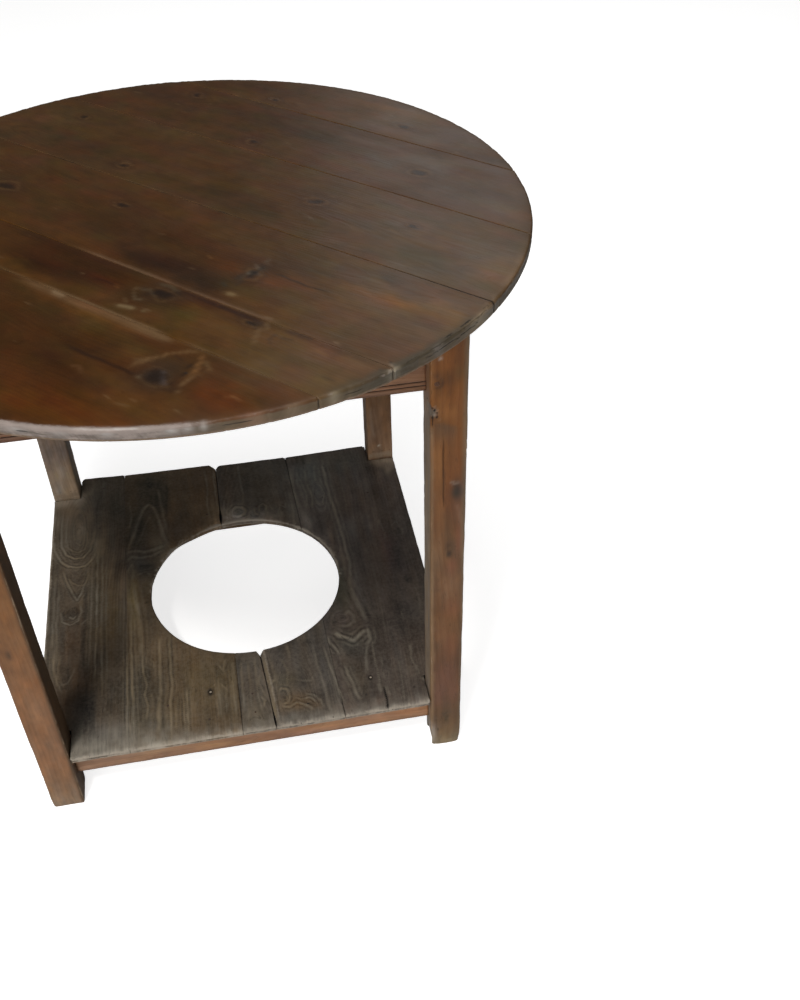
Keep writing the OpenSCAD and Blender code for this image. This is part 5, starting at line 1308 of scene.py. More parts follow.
def shelf_fields(name, verts, side, dist, kind):
    X, Y, Z = verts.T
    x, y = X / K, Y / K
    zero = x * 0
    phi, extra = shelf_grain(name, X, Y, Z)
    top = side == 0
    base, patches = SHELF_TINT[name]
    col = np.broadcast_to(lin(*base), (len(X), 3)).copy()
    wx, wy = x + 5 * nz(x, y, zero, 16, 40, 1, 521), y + 10 * nz(x, y, zero, 24, 50, 1, 522)
    for cx, cy, rx, ry, c, s in patches:
        m = s * np.exp(-1.1 * (np.abs((wx - cx) / rx) ** 2.2 + np.abs((wy - cy) / ry) ** 2.2))
        col = mark(col, m, c)
    streaks = 0.24 * nz(x, y, zero, 5, 120, 1, 523, 3) + 0.14 * nz(x, y, zero, 13, 220, 1, 528)
    col *= (1 + streaks + 0.20 * nz(x, y, zero, 26, 60, 1, 524) + 0.12 * nz(x, y, zero, 8, 14, 1, 525))[:, None]
    warm = 0.08 * nz(x, y, zero, 12, 70, 1, 526)
    col *= np.stack([1 + warm, 1 + 0.0 * warm, 1 - 1.3 * warm], 1)
    # the wide areas: mostly painted light and shade from the shadows of the top and the legs, partly the boards' own
    # tone
    shade, cool = zero.copy(), zero.copy()
    for cx, cy, rx, ry, more, blue in SHELF_PAINTED_LIGHT_AND_TONE:
        m = np.exp(-(np.abs((wx - cx) / rx) ** 3) - np.abs((wy - cy) / ry) ** 3)
        shade += math.log(more) * m
        cool += math.log(blue) * m
    col *= np.exp(shade)[:, None] * np.stack([np.exp(-0.5 * cool), np.exp(0.1 * cool) * 1.03, np.exp(0.6 * cool) * 1.08], 1)
    # pale smears before the back legs, made lighter still with painted light where the top's shadow falls on them
    for cx, cy, rx, ry, k, c in ((-268, 238, 26, 15, 0.85, (206, 192, 172)), (-284, 205, 9, 26, 0.5, (160, 148, 130)), (-266, 216, 18, 16, 0.4, (160, 140, 114)), (274, 238, 22, 13, 0.8, (188, 170, 148)), (280, 218, 13, 14, 0.55, (170, 154, 134))):
        q = np.abs((wx - cx) / rx) ** 2.6 + np.abs((wy - cy) / ry) ** 2.6
        col = mark(col, k * np.exp(-q) * top, c)
    light, dark = shelf_marks(name, x, y)
    pale = lin(138, 132, 118)
    warmer = lin(140, 124, 98)
    mixw = (step(nz(x, y, zero, 40, 60, 1, 527) + (y < -60) * 0.5, -0.2, 0.6) * (1 - 0.75 * step(x, 40, 90)))[:, None]
    line = (pale * (1 - mixw) + warmer * mixw)
    m = (np.clip(light * (0.85 + 0.35 * nz(x, y, zero, 5, 14, 1, 529)), 0, 1) * 0.85 * top)[:, None]
    col = col * (1 - m) + line * m
    col *= (1 - 0.70 * np.clip(dark, 0, 1) * top)[:, None]
    near = extra["near"]
    knot = np.where(top, 0.45 * np.exp(-((near / 0.6) ** 2)), 0)
    # rubbed pale along the front edge, the hole and the left edge; ragged inland
    rag = 1 + 0.55 * nz(x, y, zero, 7, 12, 1, 531) + 0.4 * nz(x, y, zero, 22, 22, 1, 532)
    rub = zero.copy()
    fray = 1 + 0.8 * nz(x, y, zero, 4, 30, 1, 538) + 0.5 * nz(x, y, zero, 14, 40, 1, 539)
    rub = np.maximum(rub, np.where(kind == 2, 0.72 * np.exp(-((dist / (2.6 * np.clip(rag * fray, 0.3, 3))) ** 2)), 0))
    rub = np.maximum(rub, 0.62 * np.exp(-(((y + 292) / 13) ** 2)) * step(nz(x, y, zero, 3.5, 50, 1, 540), -0.1, 0.5) * top)
    # the front is bleached, widest at its left
    reach = 15 + 22 * (1 - step(x, -150, -70)) + 8 * nz(x, y, zero, 6, 60, 1, 541)
    bleach = np.exp(-(np.clip((y + 292) / np.maximum(reach, 4), 0, 9) ** 2.4)) * top
    col = mark(col, bleach * (0.40 + 0.30 * (1 - step(x, -150, -70)) + 0.35 * nz(x, y, zero, 8, 12, 1, 542)), (142, 136, 124))
    crest = np.exp(-(((y + 289) / 7.0) ** 2)) * step(x, -200, -150) * top * np.clip(0.75 + 0.6 * nz(x, y, zero, 12, 6, 1, 550), 0, 1)
    col *= 1 + 0.32 * crest[:, None]
    ang = np.degrees(np.arctan2(Y - HOLE[1], X - HOLE[0]))
    far = np.exp(-(((ang - 92) / 25.0) ** 4)) + np.exp(-(((ang - 139) / 9.0) ** 2)) + 0.8 * np.exp(-(((ang - 26) / 33.0) ** 4)) + 0.5 * np.exp(-(((ang - 170) / 8.0) ** 2))
    far = np.clip(far * (1 + 0.5 * nz(x, y, zero, 9, 9, 1, 546)), 0, 1.1)
    rub = np.maximum(rub, np.where(kind == 1, (0.38 + 0.62 * far) * np.exp(-((dist / ((2.0 + 5.0 * far) * np.clip(rag, 0.5, 2))) ** 2)), 0))
    hd = np.clip(np.hypot(X - HOLE[0], Y - HOLE[1]) - HOLE_R, 0, 99)
    band = np.exp(-(((ang - 88) / 34.0) ** 4)) + 0.75 * np.exp(-(((ang - 20) / 28.0) ** 4)) + 0.8 * bell(ang, 140, 10)
    halo = (band + 0.5 * bell(ang, 95, 16)) * np.exp(-((hd / (16 + 7 * nz(x, y, zero, 11, 11, 1, 547))) ** 2)) * (1 + 0.45 * nz(x, y, zero, 4, 4, 1, 548)) * top
    col *= np.exp(np.clip(halo, 0, 1.7)[:, None] * np.array([0.74, 0.75, 0.81])[None])
    rub = np.maximum(rub, np.where(kind == 4, 0.75 * np.exp(-((dist / (4.5 * rag)) ** 2)) * np.where(X < 0, 1.0, 0.55), 0))
    rub = np.maximum(rub, np.where(kind == 3, 0.35 * np.exp(-((dist / 2.0) ** 2)), 0))
    rub = np.maximum(rub, 0.5 * bell(y, -282, 14) * np.clip(0.3 + nz(x, y, zero, 8, 16, 1, 533), 0, 1) * top)
    lip = np.exp(-(((x - 26 - (y + 156) * -0.08) / 3.0) ** 2)) * (y < -150) * (np.abs(x - 26) < 14)
    rub = np.maximum(rub, 0.6 * lip * (name in ("shelf_board_front_narrow", "shelf_board_front_wide")))
    wall = side == 2
    # the far wall of the hole is painted lighter: pale torn wood, and painted light where the top shades it
    col *= 1 + (0.9 * (wall & (kind == 1)) * bell(ang, 92, 36))[:, None]
    rub = np.where(wall & (kind == 1), np.clip(0.30 + 0.5 * nz(X, Y, Z, 20, 20, 3, 534) + 0.4 * step(Z, 109, 112), 0, 1), rub)
    low = 1 - step(Z, 103.5, 108.5 + 1.5 * nz(X, Y, zero, 9, 9, 1, 543))
    rub = np.where(wall & (kind == 2), np.clip(0.26 + 0.42 * low + 0.45 * nz(X, Y, Z, 10, 10, 3, 535), 0.1, 1.0), rub)
    rub = np.where(wall & ((kind == 3) | (kind == 4)), 0.3, rub)
    dirt_and_shade = np.where(wall & ((kind == 0) | (kind == 5)), 0.85, 0.0)
    # each joint is as dark as it looks: the left one hardly shows, the slot behind the hole is black
    bold = np.where(x < -150, 0.05, np.where(x < 0, np.where(y > 0, 0.6 + 0.5 * bell(y, 148, 24), 0.22 + 0.4 * (1 - step(y, -230, -200))), np.where(y > 0, 0.6, np.where(x > 60, 0.10 + 0.15 * (1 - step(y, -230, -205)), 0.55 + 0.4 * bell(y, -172, 16) + 0.4 * bell(y, -280, 18)))))
    across = np.where((x < 0) & (y > 0), 0.7 + 0.9 * bell(y, 148, 16), 0.75)
    dirt_and_shade = np.maximum(dirt_and_shade, np.where(top & (kind == 0), bold * np.exp(-((dist / across) ** 2)), 0))
    dirt_and_shade = np.maximum(dirt_and_shade, np.where(top & (kind == 5), 0.5 * np.exp(-((dist / 1.2) ** 2)), 0))
    # dark rust around the two nails that show
    for cx, cy in ((-56.0, -223.0), (176.0, -242.0)):
        ring = np.exp(-((np.hypot(X - cx, (Y - cy) * 0.7) / (5.0 + 1.5 * nz(X, Y, zero, 4, 4, 1, 549))) ** 3)) * top
        col = mark(col, 0.8 * ring, (40, 32, 26))
        dirt_and_shade = np.maximum(dirt_and_shade, 0.75 * ring)
    crack = stroke(x + 1.1 * nz(x, y, zero, 9, 14, 1, 511), y, [(184, -250), (185, -270), (184, -292)], 1.3) * (Z > 104)
    dirt_and_shade = np.maximum(dirt_and_shade, 0.95 * crack)
    # crumbs of pale wood along the left of the hole
    crumb = step(nz(x, y, zero, 3.2, 3.2, 1, 544), 0.2, 0.55) * np.exp(-((dist / 5.0) ** 2)) * (kind == 1) * np.clip(bell(ang, 147, 24) + 0.8 * bell(ang, 50, 8) + 0.6 * bell(ang, 0, 9), 0, 1)
    holes = step(nz(X, Y, Z, 4.2, 4.2, 4.2, 536), 0.62, 0.74) * (kind == 2) * np.exp(-((dist / 8.0) ** 2))
    dirt_and_shade = np.maximum(dirt_and_shade, holes * 0.8 * (side != 1))
    col = mark(col, 0.95 * crumb * (side != 1), (196, 190, 178))
    under = side == 1
    raw = lin(112, 92, 70)[None] * (1 + 0.2 * nz(x, y, zero, 5, 150, 1, 537, 3)[:, None])
    col = np.where(under[:, None], raw, col)
    return fields(phi, Y, Z, col, knot=knot, rub=rub, dirt_and_shade=dirt_and_shade, ringy=extra["ringy"] * np.where(under, 0.3, 1.0), dust=np.where(top, 0.10, 0.2))


# ------------------------------------------------------------------ the base
LEG_C, LEG_H = 276.5, 22.5


def rect_section(a, b, r, gap, cols=()):
    """A rectangle 2a by 2b with rounded corners, counter-clockwise; cols adds places on the side b = -b."""
    pts = []

    def side(p, q, extra=()):
        L = np.linalg.norm(np.subtract(q, p))
        ts = sorted(set(np.round(np.linspace(0, 1, max(2, int(L / gap))), 5)) | set(extra))
        return [tuple(np.array(p) + (np.array(q) - np.array(p)) * t) for t in ts]

    def corner(cx, cy, t0):
        return [(cx + r * math.cos(t0 + math.pi / 2 * k / 5), cy + r * math.sin(t0 + math.pi / 2 * k / 5)) for k in range(1, 5)]

    extra = [(c + a - r) / (2 * (a - r)) for c in cols]
    pts += side((-a + r, -b), (a - r, -b), extra) + corner(a - r, -b + r, -math.pi / 2)
    pts += side((a, -b + r), (a, b - r)) + corner(a - r, b - r, 0)
    pts += side((a - r, b), (-a + r, b)) + corner(-a + r, b - r, math.pi / 2)
    pts += side((-a, b - r), (-a, -b + r)) + corner(-a + r, -b + r, math.pi)
    return np.array(pts)


LEGS = {"leg_front_left": (-1, -1), "leg_front_right": (1, -1), "leg_back_left": (-1, 1), "leg_back_right": (1, 1)}


def build_legs():
    for s, (name, (sx, sy)) in enumerate(LEGS.items()):
        cols = [c for c in (-7.2, -6.6, -6.2, -5.8, -5.2)] if name == "leg_front_right" else []
        sec = rect_section(LEG_H, LEG_H, 2.6, 2.6, cols)
        cx, cy = sx * LEG_C, sy * LEG_C
        cs = along(0.0, 734.0, 3.2)

        def inset(c):
            return 1.2 * np.exp(-((c / 1.6) ** 2)) + 0.7 * np.exp(-((c / 8.0) ** 2))

        def disp(a, b, c, ar, nn):
            x, y = a + cx, b + cy
            flat = 0.25 + 0.25 * nz(x, y, c, 20, 20, 160, 91 + s)
            worn = np.exp(-((ar / 3.5) ** 2)) * (0.7 + 0.7 * nz(x, y, c, 12, 12, 26, 95 + s))
            nick = np.exp(-((ar / 3.0) ** 2)) * step(nz(x, y, c, 8, 8, 9, 99 + s), 0.45, 0.8) * 1.6
            foot = np.exp(-((c / 14.0) ** 2)) * (0.5 + 0.5 * nz(x, y, c, 11, 11, 11, 103 + s)) * 0.7
            return np.clip(flat + worn + nick + foot, 0, 6) + leg_sink(name, x, y, c, nn)

        verts, tris, quads, dist, end = sweep(sec, cs, inset, disp)
        verts[:, 0] += cx
        verts[:, 1] += cy
        f = leg_fields(name, s, verts, dist, end, sx, sy)
        make(name + "_wood", verts, tris, quads, f, [MAT_LEG], [name])


LEG_FACE_TONES = {
    # height, colour as albedo: the front faces from the floor up
    "leg_front_right": [(0, (122, 106, 82)), (30, (122, 100, 74)), (70, (102, 78, 56)), (120, (100, 70, 48)), (200, (104, 72, 46)), (280, (100, 70, 44)), (340, (102, 74, 52)), (400, (96, 70, 48)), (450, (94, 62, 36)), (500, (100, 60, 30)), (560, (114, 72, 34)), (640, (114, 70, 30)), (690, (102, 62, 26)), (734, (90, 56, 26))],
    "leg_front_left": [(0, (132, 108, 82)), (40, (128, 98, 70)), (100, (126, 90, 60)), (250, (124, 86, 54)), (420, (112, 76, 42)), (560, (118, 74, 34)), (690, (104, 64, 28)), (734, (90, 56, 26))],
    "leg_back_right": [(0, (124, 104, 80)), (60, (112, 88, 62)), (110, (140, 112, 86)), (150, (148, 114, 86)), (200, (138, 104, 76)), (270, (114, 82, 54)), (560, (108, 70, 36)), (734, (92, 58, 28))],
    "leg_back_left": [(0, (124, 106, 84)), (60, (126, 106, 84)), (112, (166, 146, 120)), (165, (162, 140, 114)), (210, (134, 114, 96)), (270, (122, 104, 86)), (420, (112, 84, 58)), (560, (108, 72, 40)), (734, (92, 58, 28))],
}


def leg_tone(name, Z):
    t = LEG_FACE_TONES[name]
    zs = [a for a, _ in t]
    cs = np.array([lin(*c) for _, c in t])
    return np.stack([np.interp(Z, zs, cs[:, k]) for k in range(3)], 1)


# places on the front face of the front right leg: x, height (mm)
FR_CRACK = [(270.4, 584), (269.8, 560), (270.6, 520), (270.2, 495), (271.4, 473)]
FR_CHIP = [(253.8, 630), (256.6, 629.2), (259.6, 624.5), (262.3, 619.5)]
FR_CHIP_LOW = [(255.8, 617.6), (257.2, 613.4), (259.6, 613.6), (262.8, 615.2)]
FR_CHIP_TAIL = [(256.6, 613), (256.6, 603)]


def leg_sink(name, x, y, z, nn):
    out = 0.0 * x
    if name == "leg_front_right":
        front = nn[:, 1] < -0.6
        d, t = to_line(x, z, FR_CRACK)
        w = 0.35 + 0.7 * np.sin(np.pi * t)
        out += front * np.exp(-((d / w) ** 4)) * 1.3 * step(np.minimum(t, 1 - t), 0, 0.08)
        near = (x < 267) & (y < -282)
        d, t = to_line(x, z, FR_CHIP)
        out += near * np.exp(-((d / 1.5) ** 2)) * 2.2
        d, t = to_line(x, z, FR_CHIP_LOW)
        out += near * (y < -293) * np.exp(-((d / 1.3) ** 2)) * 2.0
        d, t = to_line(x, z, FR_CHIP_TAIL)
        out += near * (y < -293) * np.exp(-((d / 0.8) ** 2)) * 0.9
        out += near * np.exp(-((np.abs(z - 621.5) / 7.0) ** 4)) * np.exp(-((np.abs(x - 255) / 5.5) ** 4)) * 1.9
        d, t = to_line(x, z, [(262, 66), (266, 30), (268, 8)])
        out += front * np.exp(-((d / 0.9) ** 2)) * 1.0
        # the foot is worn away at its left and rounded at its right
        out += np.exp(-(((x - 254) / 7) ** 2)) * np.exp(-((z / 30) ** 2)) * 3.4
        out += np.exp(-(((x - 299) / 6) ** 2)) * np.exp(-((z / 14) ** 2)) * 2.4
        for cx, cz, r in ((286.8, 502.5, 5.5), (278, 411, 3), (278, 397, 4), (278.4, 64.7, 5)):
            d = np.hypot(x - cx, (z - cz) * 0.7)
            out += front * 0.5 * np.exp(-(((d - r) / 1.4) ** 2))
        d = np.hypot(x - 262.1, z - 662.5)
        out += front * 0.9 * np.exp(-(((d - 5.2) / 1.3) ** 2))
    return out


def leg_fields(name, s, verts, dist, end, sx, sy):
    X, Y, Z = verts.T
    px = [-240, 330, -330, 240][s]
    py = [-335, -212, 222, 340][s]
    cx, cy = sx * LEG_C, sy * LEG_C
    zero = X * 0
    xb = X + 1.5 * nz(X, Y, Z, 30, 30, 60, 601 + s)
    knots = {"leg_front_right": [(502.5, 286.8, 16, 5.5), (397, 278, 9, 3.6), (411, 278, 5, 2)], "leg_front_left": [(330, -282, 12, 5), (560, -268, 9, 4)], "leg_back_left": [(420, -280, 12, 5)], "leg_back_right": [(360, 270, 10, 4)]}[name]
    bent, near = around(Z, xb, knots)
    phi = np.hypot(bent - px - 6 * np.sin(Z / 170 + s), Y - py - 9 * np.sin(Z / 240 + 2 * s)) / 4.6 + 0.2 * nz(X, Y, Z, 14, 14, 200, 605 + s)
    col = leg_tone(name, Z + 14 * nz(X, Y, Z, 14, 14, 60, 609 + s))
    a, b = (X - cx) * sx, (Y - cy) * sy  # outward from the middle of the table
    outer_y, outer_x = b > LEG_H - 3.5, a > LEG_H - 3.5
    inner = ((a < -LEG_H + 3.5) | (b < -LEG_H + 3.5)) & ~(outer_x | outer_y)
    front = (Y < cy - LEG_H + 3.5)
    # faces away from the front are drier and greyer
    dull = np.where(front, 0.0, 1.0) * (Z < 734)
    greyc = lin(146, 132, 116) if name == "leg_front_right" else lin(118, 100, 82) if name == "leg_back_left" else lin(104, 82, 60)
    m = (dull * ((0.82 if name == "leg_front_right" else 0.62) + 0.2 * nz(X, Y, Z, 20, 20, 120, 613 + s)))[:, None]
    col = col * (1 - m) + greyc[None] * m
    # the right face of the front left leg, turned to the shade under the table, is painted darker as shade, most toward
    # the floor
    if name == "leg_front_left":
        m = (np.exp(-((np.minimum(Z, 500) / 800.0) ** 2)) * (X > cx + LEG_H - 3.5) * 0.85)[:, None]
        col = col * (1 - m) + lin(74, 56, 36)[None] * m
    hi = step(Z, 600, 640) * (1 - front)
    m = (0.5 * hi * (X < cx - LEG_H + 3.5))[:, None]
    col = col * (1 - m) + lin(122, 76, 36)[None] * m
    col *= (1 + 0.12 * nz(X, Y, Z, 5, 5, 150, 617 + s, 3) + 0.20 * nz(X, Y, Z, 16, 16, 44, 621 + s) + 0.10 * nz(X, Y, Z, 7, 7, 14, 625 + s))[:, None]
    warm = 0.10 * nz(X, Y, Z, 11, 11, 44, 629 + s) + 0.06 * nz(X, Y, Z, 6, 6, 16, 657 + s)
    if name == "leg_front_right":
        up, mid = step(Z, 590, 620), step(Z, 210, 260)
        low = (1 - mid)[:, None] * np.array([0.84, 0.81, 0.78])[None]
        col *= np.where(front[:, None], low + (mid * (1 - up))[:, None] * np.array([0.98, 0.95, 0.85])[None] + up[:, None] * np.array([1.04, 1.01, 0.87])[None], 1.0)
        col *= 1 + (front * np.exp(-(((X - 264) / 8) ** 2) - ((Z - 634) / 26) ** 2))[:, None] * np.array([0.10, 0.15, 0.20])[None]
        col *= 1 - (front * np.exp(-(((X - 283) / 8) ** 2) - ((Z - 570) / 26) ** 2))[:, None] * np.array([0.09, 0.11, 0.15])[None]
    col *= np.stack([1 + warm, 1 + 0.0 * warm, 1 - 1.5 * warm], 1)
    cloud = 0.16 * nz(X, Y, Z, 9, 9, 22, 662 + s) + 0.10 * nz(X, Y, Z, 4, 4, 10, 667 + s)
    if name == "leg_back_right":
        m = (front * step(X, 258, 264) * step(Z, 140, 170))[:, None]
        col *= (1 + cloud)[:, None] * (1 - 0.14 * m) * (1 - (front * step(Z, 136, 160))[:, None] * np.array([0.09, 0.075, 0.05])[None])
    elif name == "leg_back_left":
        m = (front * (1 - step(Z, 260, 330)))[:, None]
        col *= (1 + 1.2 * cloud)[:, None] * (1 + m * np.array([0.03, 0.04, 0.12])[None])
        col *= 1 - (front * 0.15 * np.exp(-(((X + 265) / 7) ** 2) - ((Z - 208) / 20) ** 2))[:, None]
        col *= 1 + (front * np.exp(-(((X + 284) / 8) ** 2) - ((Z - 134) / 14) ** 2))[:, None] * np.array([0.06, 0.10, 0.15])[None]
    elif name == "leg_front_left":
        m = (front * (1 - step(Z, 420, 560)))[:, None]
        col *= (1 + 1.1 * cloud * front)[:, None] * (1 + m * np.array([0.04, 0.05, 0.14])[None])
    knot = 0.7 * np.exp(-((near / 0.75) ** 2)) * front * np.where((name == "leg_front_right") & (Z < 120), 0.25, 1.0)
    rag = 1 + 0.5 * nz(X, Y, Z, 10, 10, 18, 633 + s)
    strong = {"leg_front_right": 0.95, "leg_front_left": 0.8, "leg_back_left": 0.95, "leg_back_right": 0.8}[name]
    wide = np.where((X < cx) & (name == "leg_front_right"), 3.2, 2.4)
    rub = strong * np.exp(-((dist / (wide * np.clip(rag, 0.4, 2))) ** 2)) * np.clip(0.75 + 0.5 * nz(X, Y, Z, 14, 14, 45, 637 + s) + 0.45 * nz(X, Y, Z, 6, 6, 12, 671 + s), 0, 1.2)
    if name == "leg_front_right":
        rub *= 1 - 0.45 * ((X < cx) & (Y < cy)) * step(Z, 60, 110)
    rub = np.maximum(rub, 0.85 * np.exp(-((Z / 9) ** 2)) * (0.5 + 0.5 * nz(X, Y, Z, 8, 8, 8, 641)))
    dirt_and_shade = zero.copy()
    # darker in a line where the shelf meets the leg's inner faces
    dirt_and_shade = np.maximum(dirt_and_shade, np.where(inner, 0.5 * np.exp(-(((Z - 113) / 3) ** 2)), 0))
    if name == "leg_front_right":
        f = Y < cy - LEG_H + 5.5
        d, t = to_line(X, Z, FR_CRACK)
        col = mark(col, f * np.exp(-((d / 0.9) ** 2)) * 0.9 * step(np.minimum(t, 1 - t), 0, 0.15), (46, 28, 14))
        col = mark(col, f * stroke(X, Z, [(270.6, 473), (271.6, 455), (273, 440)], 1.0) * 0.5, (66, 44, 28))
        m = f * (1 - step((Z - 609) + (X - 258) * 0.36 + 1.2 * nz(X, Y, Z, 5, 5, 9, 645), -2, 2.5)) * np.exp(-(((Z - 600) / 24) ** 2)) * (1 - step(X, 278, 292)) * step(X, 256, 261)
        col = mark(col, m * 0.75, (88, 66, 46))
        col = mark(col, f * np.exp(-(((X - 276) / 12) ** 2)) * np.exp(-(((Z - 618) / 10) ** 2)) * 0.5, (140, 92, 46))
        col = mark(col, f * np.exp(-(((X - 287) / 5) ** 2)) * np.exp(-(((Z - 675) / 10) ** 2)) * 0.55, (88, 66, 34))
        col = mark(col, f * np.exp(-(((X - 294) / 4) ** 2)) * np.exp(-(((Z - 500) / 14) ** 2)) * 0.5, (104, 84, 82))
        for kx, kz, rx, rz, c, k in (
            (264, 545, 6, 44, (156, 108, 62), 0.40), (266, 470, 7, 36, (150, 104, 62), 0.35), (284, 552, 8, 34, (114, 72, 40), 0.40), (288, 470, 9, 20, (100, 70, 52), 0.50),
            (292, 420, 6, 24, (138, 84, 64), 0.40), (264, 410, 8, 30, (146, 104, 68), 0.35), (278, 338, 12, 26, (150, 108, 74), 0.35), (284, 296, 12, 20, (140, 86, 58), 0.30),
            (270, 252, 10, 24, (152, 106, 70), 0.30), (282, 220, 12, 26, (128, 78, 52), 0.35), (276, 160, 14, 30, (122, 82, 66), 0.45), (266, 120, 10, 24, (116, 80, 66), 0.40), (288, 118, 8, 22, (136, 90, 66), 0.35),
            (270, 690, 10, 16, (158, 98, 44), 0.35), (292, 706, 8, 20, (108, 66, 34), 0.45), (268, 632, 8, 14, (150, 96, 48), 0.35), (290, 628, 8, 22, (120, 74, 40), 0.35),
        ):
            q = np.abs((X + 1.6 * nz(X, Y, Z, 6, 6, 14, 661) - kx) / rx) ** 2.4 + np.abs((Z + 7 * nz(X, Y, Z, 8, 8, 10, 662) - kz) / rz) ** 2.4
            col = mark(col, f * k * np.exp(-q), c)
        col = mark(col, f * np.exp(-(((X - 282) / 7) ** 2)) * np.exp(-(((Z - 374) / 16) ** 2)) * 0.35, (150, 88, 60))
        col = mark(col, f * np.exp(-(((X - 256) / 8) ** 2)) * np.exp(-((np.abs(Z - 660) / 55) ** 4)) * 0.45, (138, 84, 30))
        high = step(Z, 330, 430)
        col = mark(col, f * np.exp(-((np.abs(X - 297.8) / (2.8 + 2.0 * high)) ** 3)) * (0.55 + 0.3 * high) * step(Z, 20, 60), (112, 94, 72))
        lowp = 1 - step(Z, 330, 420)
        edge = np.exp(-((np.abs(X - 255.6) / (2.5 + 1.0 * lowp + 1.6 * nz(X, Y, Z, 9, 9, 20, 646))) ** 3))
        col = mark(col, f * edge * (0.50 + 0.30 * lowp + 0.25 * nz(X, Y, Z, 9, 9, 40, 647)) * step(Z, 30, 70) * (1 - step(Z, 596, 606)), (132, 106, 78))
        col = mark(col, f * np.exp(-(((X - 255.2) / 1.8) ** 2)) * step(Z, 640, 650) * 0.5, (138, 100, 62))
        col = mark(col, f * np.exp(-(((X - 288) / 7) ** 2)) * np.exp(-(((Z - 500) / 16) ** 2)) * 0.75, (66, 56, 48))
        col = mark(col, f * np.exp(-(((X - 285.5) / 5.5) ** 2)) * np.exp(-(((Z - 498) / 8) ** 2)) * 0.75, (56, 50, 38))
        # a pale stroke just above the knot is a painted highlight
        col = mark(col, f * stroke(X, Z, [(279, 517), (284, 513), (290, 514)], 2.2) * 0.8, (132, 112, 96))
        col = mark(col, f * np.exp(-(((X - 276.5) / 5) ** 2)) * np.exp(-(((Z - 668.7) / 9) ** 2)) * 0.5, (84, 52, 22))
        col = mark(col, f * np.exp(-(((X - 278) / 3) ** 2)) * np.exp(-(((Z - 396) / 5) ** 2)) * 0.8, (56, 46, 34))
        col = mark(col, f * np.exp(-(((X - 275) / 2.4) ** 2)) * np.exp(-(((Z - 410) / 8) ** 2)) * 0.6, (66, 48, 34))
        ragged = Z + 6 * nz(X, Y, Z, 4, 4, 6, 652)
        col = mark(col, f * np.exp(-(((X - 277.5) / 5) ** 2)) * np.exp(-(((ragged - 66) / 16) ** 2)) * 0.40, (84, 72, 52))
        for kx, kz in ((276, 74), (279, 66), (277, 58)):
            col = mark(col, f * np.exp(-(((X - kx) / 1.6) ** 2)) * np.exp(-(((Z - kz) / 2.2) ** 2)) * 0.6, (52, 42, 30))
        col = mark(col, f * stroke(X, Z, [(270, 78), (276, 66), (278, 54)], 1.6) * 0.6, (64, 52, 36))
        col = mark(col, f * stroke(X, Z, [(273, 640), (278, 652)], 2.0) * 0.35, (86, 58, 28))
        col = mark(col, f * stroke(X, Z, [(292, 445), (290, 470), (286, 480)], 2.4) * 0.5, (122, 92, 72))
        col = mark(col, f * np.exp(-(((X - 265.6) / 2.2) ** 2)) * np.exp(-(((Z - 696) / 2.2) ** 2)) * 0.9, (170, 158, 144))
        # painted shade: a dark ring on the lower right of the round lump, as if lit from the upper left
        d = np.hypot(X - 262.1, Z - 662.5)
        col = mark(col, f * np.exp(-(((d - 6) / 2.2) ** 2)) * 0.6 * step(X - 262.1 - (Z - 662.5) * 0.6, -6, 6), (58, 38, 22))
        col = mark(col, f * np.exp(-(((X - 261.5) / 4) ** 2)) * np.exp(-(((Z - 673) / 4.5) ** 2)) * 0.6, (70, 44, 26))
        near_chip = (X < 268) & (Y < -278)
        col = mark(col, near_chip * np.exp(-((np.abs(Z - 621.5) / 6.0) ** 4)) * np.exp(-((np.abs(X - 257) / 4.5) ** 4)) * 0.9, (116, 106, 94))
        col = mark(col, near_chip * stroke(X, Z, [(254.6, 620.5), (258, 618), (261.5, 617.6)], 0.9) * 0.8, (150, 138, 122))
        col = mark(col, near_chip * stroke(X, Z, [(258.4, 633), (261, 627.5), (264.4, 620)], 1.1) * 0.6, (148, 118, 90))
        col = mark(col, near_chip * stroke(X, Z, [(259.5, 610), (263, 610.5), (266, 613.5)], 1.2) * 0.3, (146, 120, 96))
        for chip, w, k in ((FR_CHIP, 1.7, 0.98), (FR_CHIP_LOW, 1.3, 0.92), (FR_CHIP_TAIL, 0.8, 0.75), ([(258.0, 622.5), (259.2, 620.6)], 0.8, 0.7)):
            d, t = to_line(X, Z, chip)
            dirt_and_shade = np.maximum(dirt_and_shade, near_chip * (Y < (-278 if chip is FR_CHIP else -293)) * np.exp(-((d / w) ** 2)) * k)
        dirt_and_shade = np.maximum(dirt_and_shade, f * stroke(X, Z, [(262, 66), (266, 30), (268, 8)], 0.8) * 0.7)
        rub = np.maximum(rub, f * 0.40 * np.exp(-(((Z - 8) / 20) ** 2)) * (0.6 + 0.6 * nz(X, Y, Z, 10, 10, 14, 649)))
        col = mark(col, (X < 266) * (Y < -262) * np.exp(-((np.abs(Z - 26) / 24) ** 3)) * np.exp(-(((X - 256) / 6) ** 2)) * 0.9, (158, 148, 138))
        col = mark(col, f * np.exp(-((Z / 24) ** 3)) * (0.45 + 0.4 * nz(X, Y, Z, 8, 8, 8, 653)), (150, 134, 104))
        col = mark(col, f * stroke(X, Z, [(258, 78), (262, 50), (266, 22), (268, 4)], 1.8) * 0.5, (92, 72, 56))
    if name in ("leg_back_left", "leg_back_right"):
        f = Y < cy - LEG_H + 3.5
        wav = Z - 128 - 3 * nz(X, Y, zero, 12, 12, 1, 651)
        rub = np.maximum(rub, 0.75 * f * np.exp(-(((wav + 8) / 9) ** 2)))
        dirt_and_shade = np.maximum(dirt_and_shade, 0.6 * f * np.exp(-((wav / 1.1) ** 2)))
